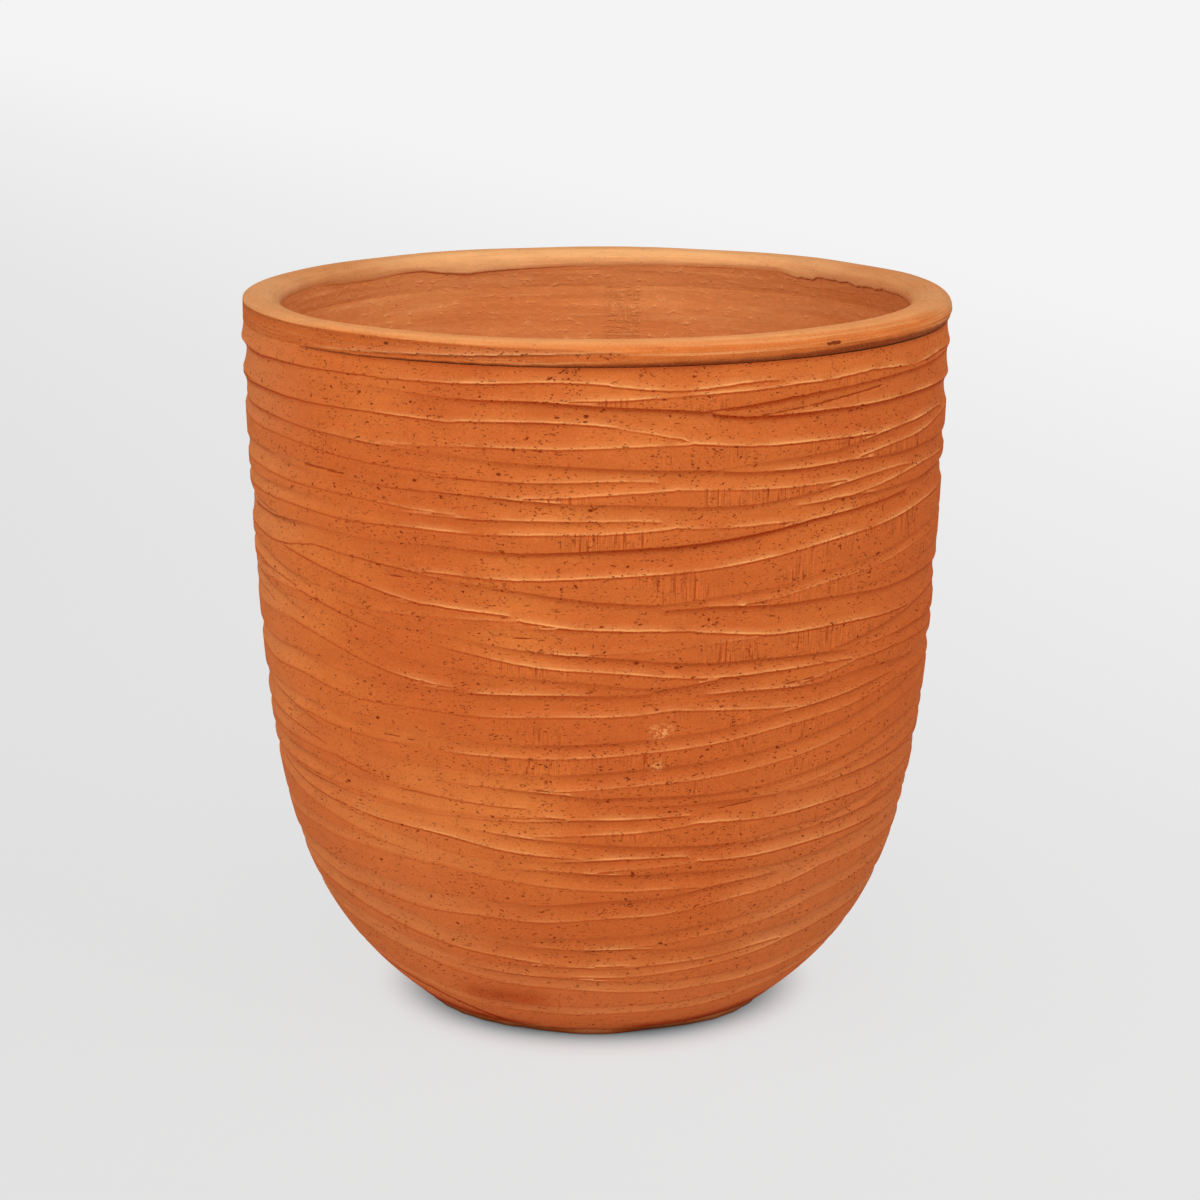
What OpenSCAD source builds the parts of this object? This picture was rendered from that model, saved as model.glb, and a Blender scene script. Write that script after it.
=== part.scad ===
// Round terracotta planter. Four wall slabs are butted together on a floor slab, a coil is
// pressed into the inside corner and a rolled coil makes the rim. Broad overlapping bands
// are scraped out of the wall by hand, one over another.
// Origin: centre of the underside. +Z is up and the front faces -Y.
// An angle on the wall is counted from the front, and grows towards +X.

/* [Pot] */
// Height from the ground to the top of the rim
pot_h = 385; // [320:1:450]
// Outside diameter of the rim
rim_d = 380; // [340:1:440]
// Thickness of the wall, square to its face
wall_t = 18; // [14:0.5:22]

/* [Wall] */
// Outside diameter of the wall where it stands on the floor slab
foot_d = 198; // [170:1:230]
// Lean of the straight upper wall, in degrees from upright
wall_lean = 2.1; // [0:0.1:5]
// Height over which the wall turns in towards its foot
turn_h = 58; // [45:1:75]
// Angle of the first upright seam between two slabs
seam_at = -5; // [-45:1:45]

/* [Floor slab] */
// Thickness of the floor
floor_t = 14; // [10:0.5:20]
// Height of the slab's edge that shows below the wall
lip_h = 3.5; // [2:0.5:6]
// Distance that the slab's edge stands back from the wall's foot
lip_set = 3; // [1:0.5:6]
// Rounding of the slab's edge
lip_round = 1.2; // [0.5:0.1:1.5]
// Diameter of the drain hole
drain_d = 26; // [15:0.5:40]

/* [Corner coil] */
// Reach of the coil along the floor
corner_w = 14; // [8:0.5:25]
// Reach of the coil up the wall
corner_h = 10; // [6:0.5:20]
// Thickness of the coil where it is smoothed out
corner_thin = 1; // [0.5:0.1:2]

/* [Rim coil] */
// Height of the rolled rim
rim_h = 13; // [11:0.5:18]
// Distance that the rim stands out past the wall
rim_out = 0.6; // [0:0.1:3]
// Distance that the rim stands in over the pot's inside
rim_in = 3.5; // [2.5:0.1:6]
// Rounding of the rim's upper edges
rim_round = 7.5; // [4:0.5:8]
// Rounding under the rim's outer edge
rim_under = 3; // [1:0.5:3]
// Length of the lap that is smoothed down the wall's inside
lap_h = 9; // [5:0.5:20]
// Distance that the lap stands back from the rim's inner edge
lap_set = 1.4; // [0.5:0.1:1.8]
// Thickness of the lap at its lower end
lap_thin = 0.8; // [0.4:0.1:1.5]

/* [Carving] */
// Depth of the deepest band
carve_d = 1.8; // [0.5:0.1:2.5]
// Height over which a band comes out again at its upper edge
step_h = 2.5; // [1:0.5:4]
// Facets along each wall slab
slab_facets = 14; // [12:1:16]

/* [Fit] */
// Gap left where round faces of two pieces meet
clay_gap = 0.1; // [0.05:0.05:0.3]

/* [Hidden] */

// Colours of the fired clay: the wall, its inside pieces and the paler rubbed rim
wall_clay = [0.76, 0.37, 0.17];
inner_clay = [0.72, 0.36, 0.19];
rim_clay = [0.80, 0.46, 0.24];

// Each band: heights of its lower edge at the five angles of READ_AT, its width, its strength.
// The heights are laid out on a pot that is LAID_H high.
LAID_H = 385;
READ_AT = [-60, -30, 0, 30, 60];
BANDS = [
    [362.5, 361, 360, 361, 361, 16, 0.9],
    [350, 353, 356, 360, 364, 12, 0.5],
    [345, 342, 337, 331, 329, 16, 1],
    [329, 330.5, 332.5, 337, 341.5, 16, 0.7],
    [323.5, 318, 313, 308.5, 306.5, 9.5, 0.7],
    [305.5, 307, 309, 314.5, 323, 7.5, 0.6],
    [301.5, 298.5, 293.5, 290, 288, 10.5, 0.7],
    [289, 288, 289.5, 295.5, 304.5, 7, 0.6],
    [266.5, 266, 267, 274, 283.5, 13.5, 1],
    [264.5, 251, 240.5, 233.5, 232.5, 15, 0.9],
    [243, 243.5, 245.5, 252.5, 263, 5.5, 0.4],
    [226, 227, 229, 233.5, 242, 12, 0.3],
    [245, 230, 218.5, 213, 212, 7.5, 0.7],
    [226.5, 210.5, 202, 195, 194.5, 10, 0.6],
    [198.5, 194, 196, 203.5, 217.5, 11.5, 0.7],
    [178, 173.5, 174.5, 182.5, 194, 7, 0.6],
    [160, 156, 157, 165, 179, 8.5, 0.6],
    [165, 148.5, 139.5, 136, 138, 12.5, 0.8],
    [145.5, 140.5, 142.5, 146, 158, 8.5, 0.6],
    [134, 130, 132, 141, 151, 8, 0.5],
    [134.5, 127.5, 118, 115.5, 118.5, 8.5, 0.7],
    [112, 110, 112, 119, 130, 6, 0.4],
    [127.5, 110.5, 101.5, 99.5, 102, 9, 0.7],
    [88, 82.5, 83.5, 93, 106, 10, 0.7],
    [78, 64.5, 65, 74, 86, 7, 0.5],
    [77, 61.5, 54, 55, 65, 10.5, 0.8],
    [62, 49, 46.5, 52.5, 66, 6, 0.4],
    [58, 44, 36.5, 36, 42, 7, 0.6],
    [30, 20, 18.5, 21, 30, 6, 0.4],
];
// Places of the width and the strength in a band
WIDTH = len(READ_AT);
STRENGTH = WIDTH + 1;
// Angle between readings, and how far a band's slope carries on past the outer ones
READ_STEP = READ_AT[1] - READ_AT[0];
CARRY = 0.6;
// Least height between two rows of facets on the carved face
ROW_GAP = 0.5;
// Rows of facets up the plain inside, and how much closer they lie near the floor
INNER_ROWS = 7;
INNER_CROWD = 1.6;
// Points along a rounded edge, and facets round the turned pieces
ARC_POINTS = 8;
$fn = 120;

slab_turn = 360 / 4;
rim_r = rim_d / 2;
foot_r = foot_d / 2;
wall_top = pot_h - rim_h;
wall_top_r = rim_r - rim_out;
wall_slope = tan(wall_lean);
foot_turn = wall_top_r - wall_slope * (wall_top - lip_h) - foot_r;
corner_top = floor_t + corner_h;
lap_low = wall_top - lap_h;
// Depth of the line up the inside of the wall that closes the ends of a slab
core_d = 2 * carve_d;
// Share of its radius at which a slab's flat facets lie nearest to the axis
facet_in = cos(slab_turn / slab_facets / 2);

// Outside radius of the uncarved wall: a straight lean, less a turn that fades with height
function outer_r(z) = wall_top_r - wall_slope * (wall_top - z) - foot_turn * exp((lip_h - z) / turn_h);
function outer_slope(z) = wall_slope + foot_turn / turn_h * exp((lip_h - z) / turn_h);
function inner_r(z) = outer_r(z) - wall_t * norm([1, outer_slope(z)]);
// Radius of a turned face that lies against the inside of the wall
function fit_r(z) = inner_r(z) * facet_in - clay_gap;

// Points along an arc, with both ends
function arc(center, r, from, to) = [for (i = [0 : ARC_POINTS])
    let (a = from + (to - from) * i / ARC_POINTS) center + r * [cos(a), sin(a)]];
// Points along a curve that leaves a towards b and arrives at c from b
function curve(a, b, c) = [for (i = [0 : ARC_POINTS])
    let (t = i / ARC_POINTS) (1 - t) ^ 2 * a + 2 * t * (1 - t) * b + t ^ 2 * c];

function clamped(x, low, high) = max(low, min(high, x));
function sorted(list) = len(list) < 2 ? list : let (
    pivot = list[floor(len(list) / 2)]
) concat(
    sorted([for (x = list) if (x < pivot) x]),
    [for (x = list) if (x == pivot) x],
    sorted([for (x = list) if (x > pivot) x])
);

// Heights of a band's lower edge all the way round, one for each READ_STEP from READ_AT[0] on.
// Behind, it swings in half a wave from where it leaves on the right to where it comes in on the left.
function band_heights(band) = let (
    last = WIDTH - 1,
    right = band[last] + CARRY * (band[last] - band[last - 1]),
    left = band[0] + CARRY * (band[0] - band[1]),
    behind = 360 / READ_STEP - WIDTH
) [
    for (i = [0 : last]) band[i],
    for (i = [0 : behind - 1]) (right + left) / 2 + (right - left) / 2 * cos(180 * i / (behind - 1))
];
// Smooth curve through four even readings, t of the way from the second to the third
function smooth(a, b, c, d, t) =
    b + t * (c - a + t * (2 * a - 5 * b + 4 * c - d + t * (3 * b - a - 3 * c + d))) / 2;
function band_edge(heights, angle) = let (
    n = len(heights),
    place = (angle - READ_AT[0]) / READ_STEP + n,
    i = floor(place)
) smooth(heights[(i - 1) % n], heights[i % n], heights[(i + 1) % n], heights[(i + 2) % n], place - i)
    * pot_h / LAID_H;

// Depth of a band, v above its lower edge: a hollow that deepens upwards and comes out more steeply
function band_cut(v, width, depth) = let (floor_w = width - step_h)
    v <= 0 || v >= width ? 0 :
    v > floor_w ? -depth * (width - v) / step_h :
    -depth * v / floor_w * (2 - v / floor_w);
function carved(edges, z) = min([for (i = [0 : len(BANDS) - 1])
    band_cut(z - edges[i], BANDS[i][WIDTH], BANDS[i][STRENGTH] * carve_d)]);

// One row of facets along each edge of each band, sorted upwards
function row_heights(edges) = sorted([for (i = [0 : len(BANDS) - 1])
    for (v = [0, BANDS[i][WIDTH] - step_h, BANDS[i][WIDTH]])
        clamped(edges[i] + v, lip_h, wall_top)]);
// The same rows with at least ROW_GAP between them: a row moves up only where one below pushes it
function apart(rows) = let (
    last = len(rows) - 1,
    top = wall_top - (last + 1) * ROW_GAP,
    low = [for (i = [0 : last]) min(rows[i] - i * ROW_GAP, top)]
) [for (i = [0 : last]) max(lip_h + ROW_GAP, max([for (j = [0 : i]) low[j]])) + i * ROW_GAP];
// A point of the carved face, moved in square to the plain wall
function face_point(z, depth) = let (slope = outer_slope(z), reach = depth / norm([1, slope]))
    [outer_r(z) + reach, z - slope * reach];

// Outline of the wall at one angle: up the carved face, down the plain inside, round the foot
function wall_outline(angle) = let (
    edges = [for (band = BANDS) band_edge(band_heights(band), angle)],
    rows = row_heights(edges),
    heights = apart(rows)
) [
    [foot_r, lip_h],
    for (i = [0 : len(rows) - 1]) face_point(heights[i], carved(edges, rows[i])),
    [wall_top_r + carved(edges, wall_top), wall_top],
    [inner_r(wall_top), wall_top],
    for (i = [INNER_ROWS : -1 : 0])
        let (z = corner_top + (lap_low - corner_top) * (i / INNER_ROWS) ^ INNER_CROWD) [inner_r(z), z],
    [inner_r(floor_t), floor_t],
    [inner_r(floor_t), lip_h],
];

// A line up the inside of the wall, deeper than any band, with a point for each row of the carved face
function core_line(angle) = let (edges = [for (band = BANDS) band_edge(band_heights(band), angle)])
    [for (z = apart(row_heights(edges))) face_point(z, -core_d)];
// Triangles that close one end of a slab: from its face to the core line, and from there to its back.
// The outline's points start at a, and the core line's at c. Each point of the core line is joined to
// the highest point of the back that isn't above it.
function end_faces(outline, core, a, c) = let (
    top = len(core) + 1,
    foot = len(outline) - 1,
    back = foot - top - 1,
    inside = [a + foot, for (i = [0 : len(core) - 1]) c + i, a + top + 1],
    below = [for (p = core) len([for (k = [1 : back]) if (outline[foot - k].y <= p.y) k])],
    rung = [0, for (i = [0 : len(core) - 2]) below[i], back]
) [
    for (i = [0 : top - 1]) each [[a + i, a + i + 1, inside[i + 1]], [a + i, inside[i + 1], inside[i]]],
    for (i = [1 : top - 2]) [inside[i], inside[i + 1], a + foot - rung[i]],
    for (i = [0 : top - 2]) for (k = [rung[i] : 1 : rung[i + 1] - 1])
        [a + foot - k - 1, a + foot - k, inside[i + 1]],
];

// Points of an outline that stands at an angle round the axis
function stood(outline, angle) = [for (p = outline) [p.x * sin(angle), -p.x * cos(angle), p.y]];

module wall_slab(place) {
    angles = [for (j = [0 : slab_facets]) seam_at + slab_turn * (place + j / slab_facets)];
    outlines = [for (a = angles) wall_outline(a)];
    last = slab_facets;
    n = len(outlines[0]);
    start = core_line(angles[0]);
    end = core_line(angles[last]);
    core_at = n * len(outlines);
    points = [
        for (j = [0 : last]) each stood(outlines[j], angles[j]),
        each stood(start, angles[0]),
        each stood(end, angles[last]),
    ];
    faces = [
        for (j = [0 : last - 1]) for (i = [0 : n - 1]) let (
            a = j * n + i,
            b = j * n + (i + 1) % n
        ) each [[a, b, b + n], [a, b + n, a + n]],
        for (t = end_faces(outlines[0], start, 0, core_at)) [t[2], t[1], t[0]],
        each end_faces(outlines[last], end, last * n, core_at + len(start)),
    ];
    color(wall_clay) polyhedron(points, faces, convexity = 10);
}

module floor_slab() {
    lip_r = foot_r - lip_set;
    plug_r = fit_r(floor_t);
    color(inner_clay) difference() {
        rotate_extrude() polygon(concat(
            [[0, 0]],
            arc([lip_r - lip_round, lip_round], lip_round, -90, 0),
            arc([lip_r - lip_round, lip_h - lip_round], lip_round, 0, 90),
            [[plug_r, lip_h], [plug_r, floor_t], [0, floor_t]]
        ));
        translate([0, 0, -1]) cylinder(d = drain_d, h = floor_t + 2);
    }
}

module corner_coil() {
    low = [fit_r(floor_t), floor_t];
    high = [fit_r(corner_top), corner_top];
    color(inner_clay) rotate_extrude() polygon(concat(
        [low - [corner_w, 0], low, high],
        curve(high - [corner_thin, 0], low + [0, corner_thin], low + [-corner_w, corner_thin])
    ));
}

module rim_coil() {
    inner = inner_r(wall_top) - rim_in;
    edge = min(rim_round, rim_h - rim_under);
    low = [fit_r(lap_low), lap_low];
    color(rim_clay) rotate_extrude() polygon(concat(
        arc([rim_r - rim_under, wall_top + rim_under], rim_under, -90, 0),
        arc([rim_r - edge, pot_h - edge], edge, 0, 90),
        arc([inner + edge, pot_h - edge], edge, 90, 180),
        arc([inner + lap_set, wall_top + lap_set], lap_set, 180, 270),
        [low - [lap_thin, 0], low, [fit_r(wall_top), wall_top]]
    ));
}

floor_slab();
corner_coil();
wall_slab(0);  // wall_slab_front_right
wall_slab(1);  // wall_slab_back_right
wall_slab(2);  // wall_slab_back_left
wall_slab(3);  // wall_slab_front_left
rim_coil();
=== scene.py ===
"""Looks of a round terracotta planter: carved wall slabs, rolled rim, floor slab and corner coil.

Shapes are worked out in millimetres and degrees, and put into meshes in metres. An angle is counted
from the front, which faces -Y, and grows towards +X. A height is counted from the ground.
"""

import logging
from dataclasses import dataclass, field, fields
from enum import Enum
from math import pi, radians, tan
from typing import Any, Union

import bpy
import numpy as np
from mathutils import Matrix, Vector


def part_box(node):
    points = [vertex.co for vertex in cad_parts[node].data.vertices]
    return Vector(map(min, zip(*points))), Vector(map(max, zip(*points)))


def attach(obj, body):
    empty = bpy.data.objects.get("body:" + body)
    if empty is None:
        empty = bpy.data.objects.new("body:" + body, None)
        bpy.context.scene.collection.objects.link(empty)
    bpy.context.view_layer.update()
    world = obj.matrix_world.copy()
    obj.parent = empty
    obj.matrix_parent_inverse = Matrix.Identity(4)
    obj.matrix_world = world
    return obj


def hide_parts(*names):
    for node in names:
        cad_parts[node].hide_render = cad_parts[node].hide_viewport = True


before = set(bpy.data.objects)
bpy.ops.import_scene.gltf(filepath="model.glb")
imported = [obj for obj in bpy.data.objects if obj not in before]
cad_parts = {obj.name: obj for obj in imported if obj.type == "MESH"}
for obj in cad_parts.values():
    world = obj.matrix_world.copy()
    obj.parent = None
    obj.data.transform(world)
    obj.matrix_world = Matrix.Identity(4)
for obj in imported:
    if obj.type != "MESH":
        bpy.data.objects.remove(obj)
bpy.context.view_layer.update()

LOG = logging.getLogger("planter")
Array = np.ndarray
Colour = tuple[float, float, float]
Limits = tuple[float, float]
Value = Union["Field", float]

MM = 0.001
BODY = "root"
CLAY_SHINE = 0.03


def s_curve(low: Any, high: Any, x: Any) -> Any:
    """0 below low, 1 above high, and a smooth S between them."""
    t = np.clip((x - low) / (high - low), 0.0, 1.0)
    return t * t * (3.0 - 2.0 * t)


def bell(x: Any) -> Any:
    """A bump that is 1 where x is 0 and fades on both sides within about 2."""
    return np.exp(-x * x)


@dataclass(frozen=True)
class Stretch:
    """A part of the pot's turn, from one angle to a larger one, that fades within both ends."""

    start: float
    end: float
    fade: float

    def at(self, angle: Array) -> Array:
        """How far the stretch reaches.

        Args:
            angle: angles to test, of any turn.

        Returns:
            1 inside the stretch, 0 outside it.
        """
        half = (self.end - self.start) / 2.0
        off = np.abs((angle - (self.start + self.end) / 2.0 + 180.0) % 360.0 - 180.0)
        return 1.0 - s_curve(half - self.fade, half, off)


@dataclass(frozen=True)
class Patch:
    """A mark that runs along a stretch and fades as a bell above and below its middle height."""

    along: Stretch
    middle: float
    tall: float

    def at(self, angle: Array, height: Array) -> Array:
        """Strength of the mark at these angles and heights, from 0 to 1."""
        return self.along.at(angle) * bell((height - self.middle) / self.tall)


def blurred(values: Array, taps: float) -> Array:
    """Each row of values, blurred along itself by a bell that is taps wide.

    Args:
        values: one outline per row.
        taps: width of the bell, in points.

    Returns:
        The blurred values, in the same places.
    """
    reach = int(3 * taps)
    weights = bell(np.arange(-reach, reach + 1) / (taps * 2.0**0.5))
    weights = weights / weights.sum()
    padded = np.pad(values, ((0, 0), (reach, reach)), mode="edge")
    count = values.shape[1]
    return sum(w * padded[:, k : k + count] for k, w in enumerate(weights))


@dataclass(frozen=True)
class Waves:
    """Unevenness left by hands: a seeded sum of waves over angle and height.

    Each wave is cos(m * angle + k * height + phase), with m a whole number so that it closes after
    a turn, and k a random share of 2 pi / length. The sum is scaled to an even spread of about 1.
    """

    seed: int
    fewest: int
    most: int
    length: float = 0.0
    count: int = 14

    def at(self, angle: Array, height: Any = 0.0) -> Array:
        """The sum of the waves.

        Args:
            angle: angles at which it is wanted.
            height: heights, which count only where the waves have a length.

        Returns:
            The sum, in the shape that angle and height give together.
        """
        rng = np.random.default_rng(self.seed)
        turns = rng.integers(self.fewest, self.most + 1, self.count)
        steep = rng.uniform(-1.0, 1.0, self.count) * (2.0 * pi / self.length if self.length else 0.0)
        phases = rng.uniform(0.0, 2.0 * pi, self.count)
        around = np.radians(angle)
        total = sum(np.cos(m * around + k * height + p) for m, k, p in zip(turns, steep, phases))
        return total * (2.0 / self.count) ** 0.5


@dataclass(frozen=True)
class PotShape:
    """The plain turned form that every piece is worked from, in millimetres."""

    top: float
    wall_top: float
    foot: float
    rim_radius: float
    foot_radius: float = 99.0
    wall: float = 18.0
    lean: float = 2.1
    turn: float = 58.0
    rim_out: float = 0.6
    floor: float = 14.0

    @classmethod
    def from_frame(cls) -> "PotShape":
        """The form whose heights and rim are those of the CAD nodes.

        Returns:
            The form.
        """
        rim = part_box("rim_coil")[1]
        low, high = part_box("wall_slab_front_right")
        return cls(top=rim[2] / MM, wall_top=high[2] / MM, foot=low[2] / MM, rim_radius=rim[0] / MM)

    def straight(self, height: Any) -> Any:
        """Outside radius of the wall if it only leant."""
        return self.rim_radius - self.rim_out - tan(radians(self.lean)) * (self.wall_top - height)

    def turn_in(self, height: Any) -> Any:
        """How far the wall has turned in at a height: a share of the foot's that fades upwards."""
        return (self.straight(self.foot) - self.foot_radius) * np.exp((self.foot - height) / self.turn)

    def outer(self, height: Any) -> Any:
        """Outside radius of the uncarved wall: a straight lean, less the turn at the foot."""
        return self.straight(height) - self.turn_in(height)

    def slope(self, height: Any) -> Any:
        """How fast the outside radius grows with height."""
        return tan(radians(self.lean)) + self.turn_in(height) / self.turn

    def inner(self, height: Any) -> Any:
        """Inside radius of the wall, its thickness being square to its face."""
        return self.outer(height) - self.wall * np.hypot(1.0, self.slope(height))


@dataclass(frozen=True)
class Band:
    """One scraped band: its lower edge's heights at READ_AT, its width and its strength.

    The fourth field says how strong the painted highlight on its lower edge and the painted shade
    line under it are; sharp says how crisp its upper edge is and how dark the painted shade under it is.
    """

    heights: tuple[float, ...]
    width: float
    strength: float
    painted_edge: float
    sharp: float


READ_AT = (-60, -30, 0, 30, 60)
READ_STEP = READ_AT[1] - READ_AT[0]
CARRY = 0.6
BANDS = (
    Band((362.5, 361, 360, 361, 361), 16, 0.9, 1.0, 0.6),
    Band((350, 353, 356, 360, 364), 12, 0.5, 0.9, 0.9),
    Band((345, 342, 337, 331, 329), 16, 1.0, 1.0, 1.0),
    Band((329, 330.5, 332.5, 337, 341.5), 16, 0.7, 0.7, 0.9),
    Band((323.5, 318, 313, 308.5, 306.5), 9.5, 0.7, 0.6, 0.6),
    Band((305.5, 307, 309, 314.5, 323), 7.5, 0.6, 0.7, 0.2),
    Band((301.5, 298.5, 293.5, 290, 288), 10.5, 0.7, 0.6, 0.5),
    Band((289, 288, 289.5, 295.5, 304.5), 7, 0.6, 0.7, 0.3),
    Band((266.5, 266, 267, 274, 283.5), 13.5, 1.0, 0.9, 1.0),
    Band((264.5, 251, 240.5, 233.5, 232.5), 15, 0.9, 1.0, 0.7),
    Band((243, 243.5, 245.5, 252.5, 263), 5.5, 0.4, 0.3, 0.2),
    Band((226, 227, 229, 233.5, 242), 12, 0.3, 0.3, 0.2),
    Band((245, 230, 218.5, 213, 212), 7.5, 0.7, 0.8, 0.45),
    Band((226.5, 210.5, 202, 195, 194.5), 10, 0.6, 0.7, 0.4),
    Band((198.5, 194, 196, 203.5, 217.5), 11.5, 0.7, 0.6, 0.5),
    Band((178, 173.5, 174.5, 182.5, 194), 7, 0.6, 0.5, 0.15),
    Band((160, 156, 157, 165, 179), 8.5, 0.6, 0.4, 0.2),
    Band((165, 148.5, 139.5, 136, 138), 12.5, 0.8, 0.8, 0.4),
    Band((145.5, 140.5, 142.5, 146, 158), 8.5, 0.6, 0.2, 0.4),
    Band((134, 130, 132, 141, 151), 8, 0.5, 0.6, 0.1),
    Band((134.5, 127.5, 118, 115.5, 118.5), 8.5, 0.7, 0.9, 0.4),
    Band((112, 110, 112, 119, 130), 6, 0.4, 0.25, 0.15),
    Band((127.5, 110.5, 101.5, 99.5, 102), 9, 0.7, 0.35, 0.25),
    Band((88, 82.5, 83.5, 93, 106), 10, 0.7, 0.5, 0.4),
    Band((78, 64.5, 65, 74, 86), 7, 0.5, 0.25, 0.15),
    Band((77, 61.5, 54, 55, 65), 10.5, 0.8, 0.7, 0.25),
    Band((62, 49, 46.5, 52.5, 66), 6, 0.4, 0.5, 0.2),
    Band((58, 44, 36.5, 36, 42), 7, 0.6, 0.4, 0.4),
    Band((30, 20, 18.5, 21, 30), 6, 0.4, 0.35, 0.35),
)


@dataclass(frozen=True)
class Gouge:
    """A groove torn by a bit of grit, straight from one angle and height to another."""

    start: tuple[float, float]
    end: tuple[float, float]
    width: float
    depth: float


GOUGES = (
    Gouge((26, 345.4), (39, 349.2), 1.0, 0.6),
    Gouge((37, 349.0), (50, 352.5), 1.1, 0.7),
    Gouge((-53, 311.5), (-43, 310.5), 1.2, 0.7),
    Gouge((-38, 177.5), (-31, 176.5), 0.9, 0.5),
    Gouge((-10, 156.0), (-7.5, 155.0), 1.3, 0.7),
    Gouge((-8.0, 160.0), (-7.6, 155.0), 2.4, 0.7),
    Gouge((21, 143.0), (27, 145.0), 1.0, 0.6),
    Gouge((-35, 262.0), (-31, 261.4), 0.9, 0.6),
    Gouge((32, 206.0), (38, 207.0), 1.0, 0.6),
    Gouge((-16, 236.0), (-8, 235.0), 0.9, 0.6),
    Gouge((-72, 31.0), (-45, 20.0), 3.0, 0.9),
    Gouge((-46, 20.4), (-27, 5.5), 3.0, 0.9),
    Gouge((121, 250.0), (130, 252.0), 1.4, 0.8),
    Gouge((-131, 190.0), (-122, 188.0), 1.3, 0.8),
    Gouge((168, 303.0), (174, 304.0), 1.2, 0.7),
)
STAIN = Patch(Stretch(-36.0, -8.0, 8.0), 29.0, 7.0)
BLOOMS = (Patch(Stretch(8.0, 13.0, 1.5), 187.0, 4.0), Patch(Stretch(8.5, 11.5, 1.2), 169.0, 3.0))


@dataclass(frozen=True)
class Relief:
    """Height of the carved face above the plain wall, and what its finish needs to know of it.

    Bright is a painted highlight on the lower edges, and line, drop and shade are painted shade.
    """

    height: Array
    land: Array
    near: Array
    clear: Array
    bright: Array
    line: Array
    drop: Array
    shade: Array
    torn: Array
    stain: Array
    bloom: Array
    burnt: Array


@dataclass(frozen=True)
class Creases:
    """How far off the nearest crease of the carved face is, in millimetres, and how it shows.

    Near is above 0 over the crease and below 0 under it, and clear is its size. The strengths of the
    painted highlight with its shade line, and of the painted shade under the upper edge, are those of
    the bands that end there, less where the hollow beside the crease runs out or narrows.
    """

    near: Array
    clear: Array
    # strength of the painted highlight and painted shade line of the lower edges
    painted_edge: Array
    sharp: Array


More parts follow.
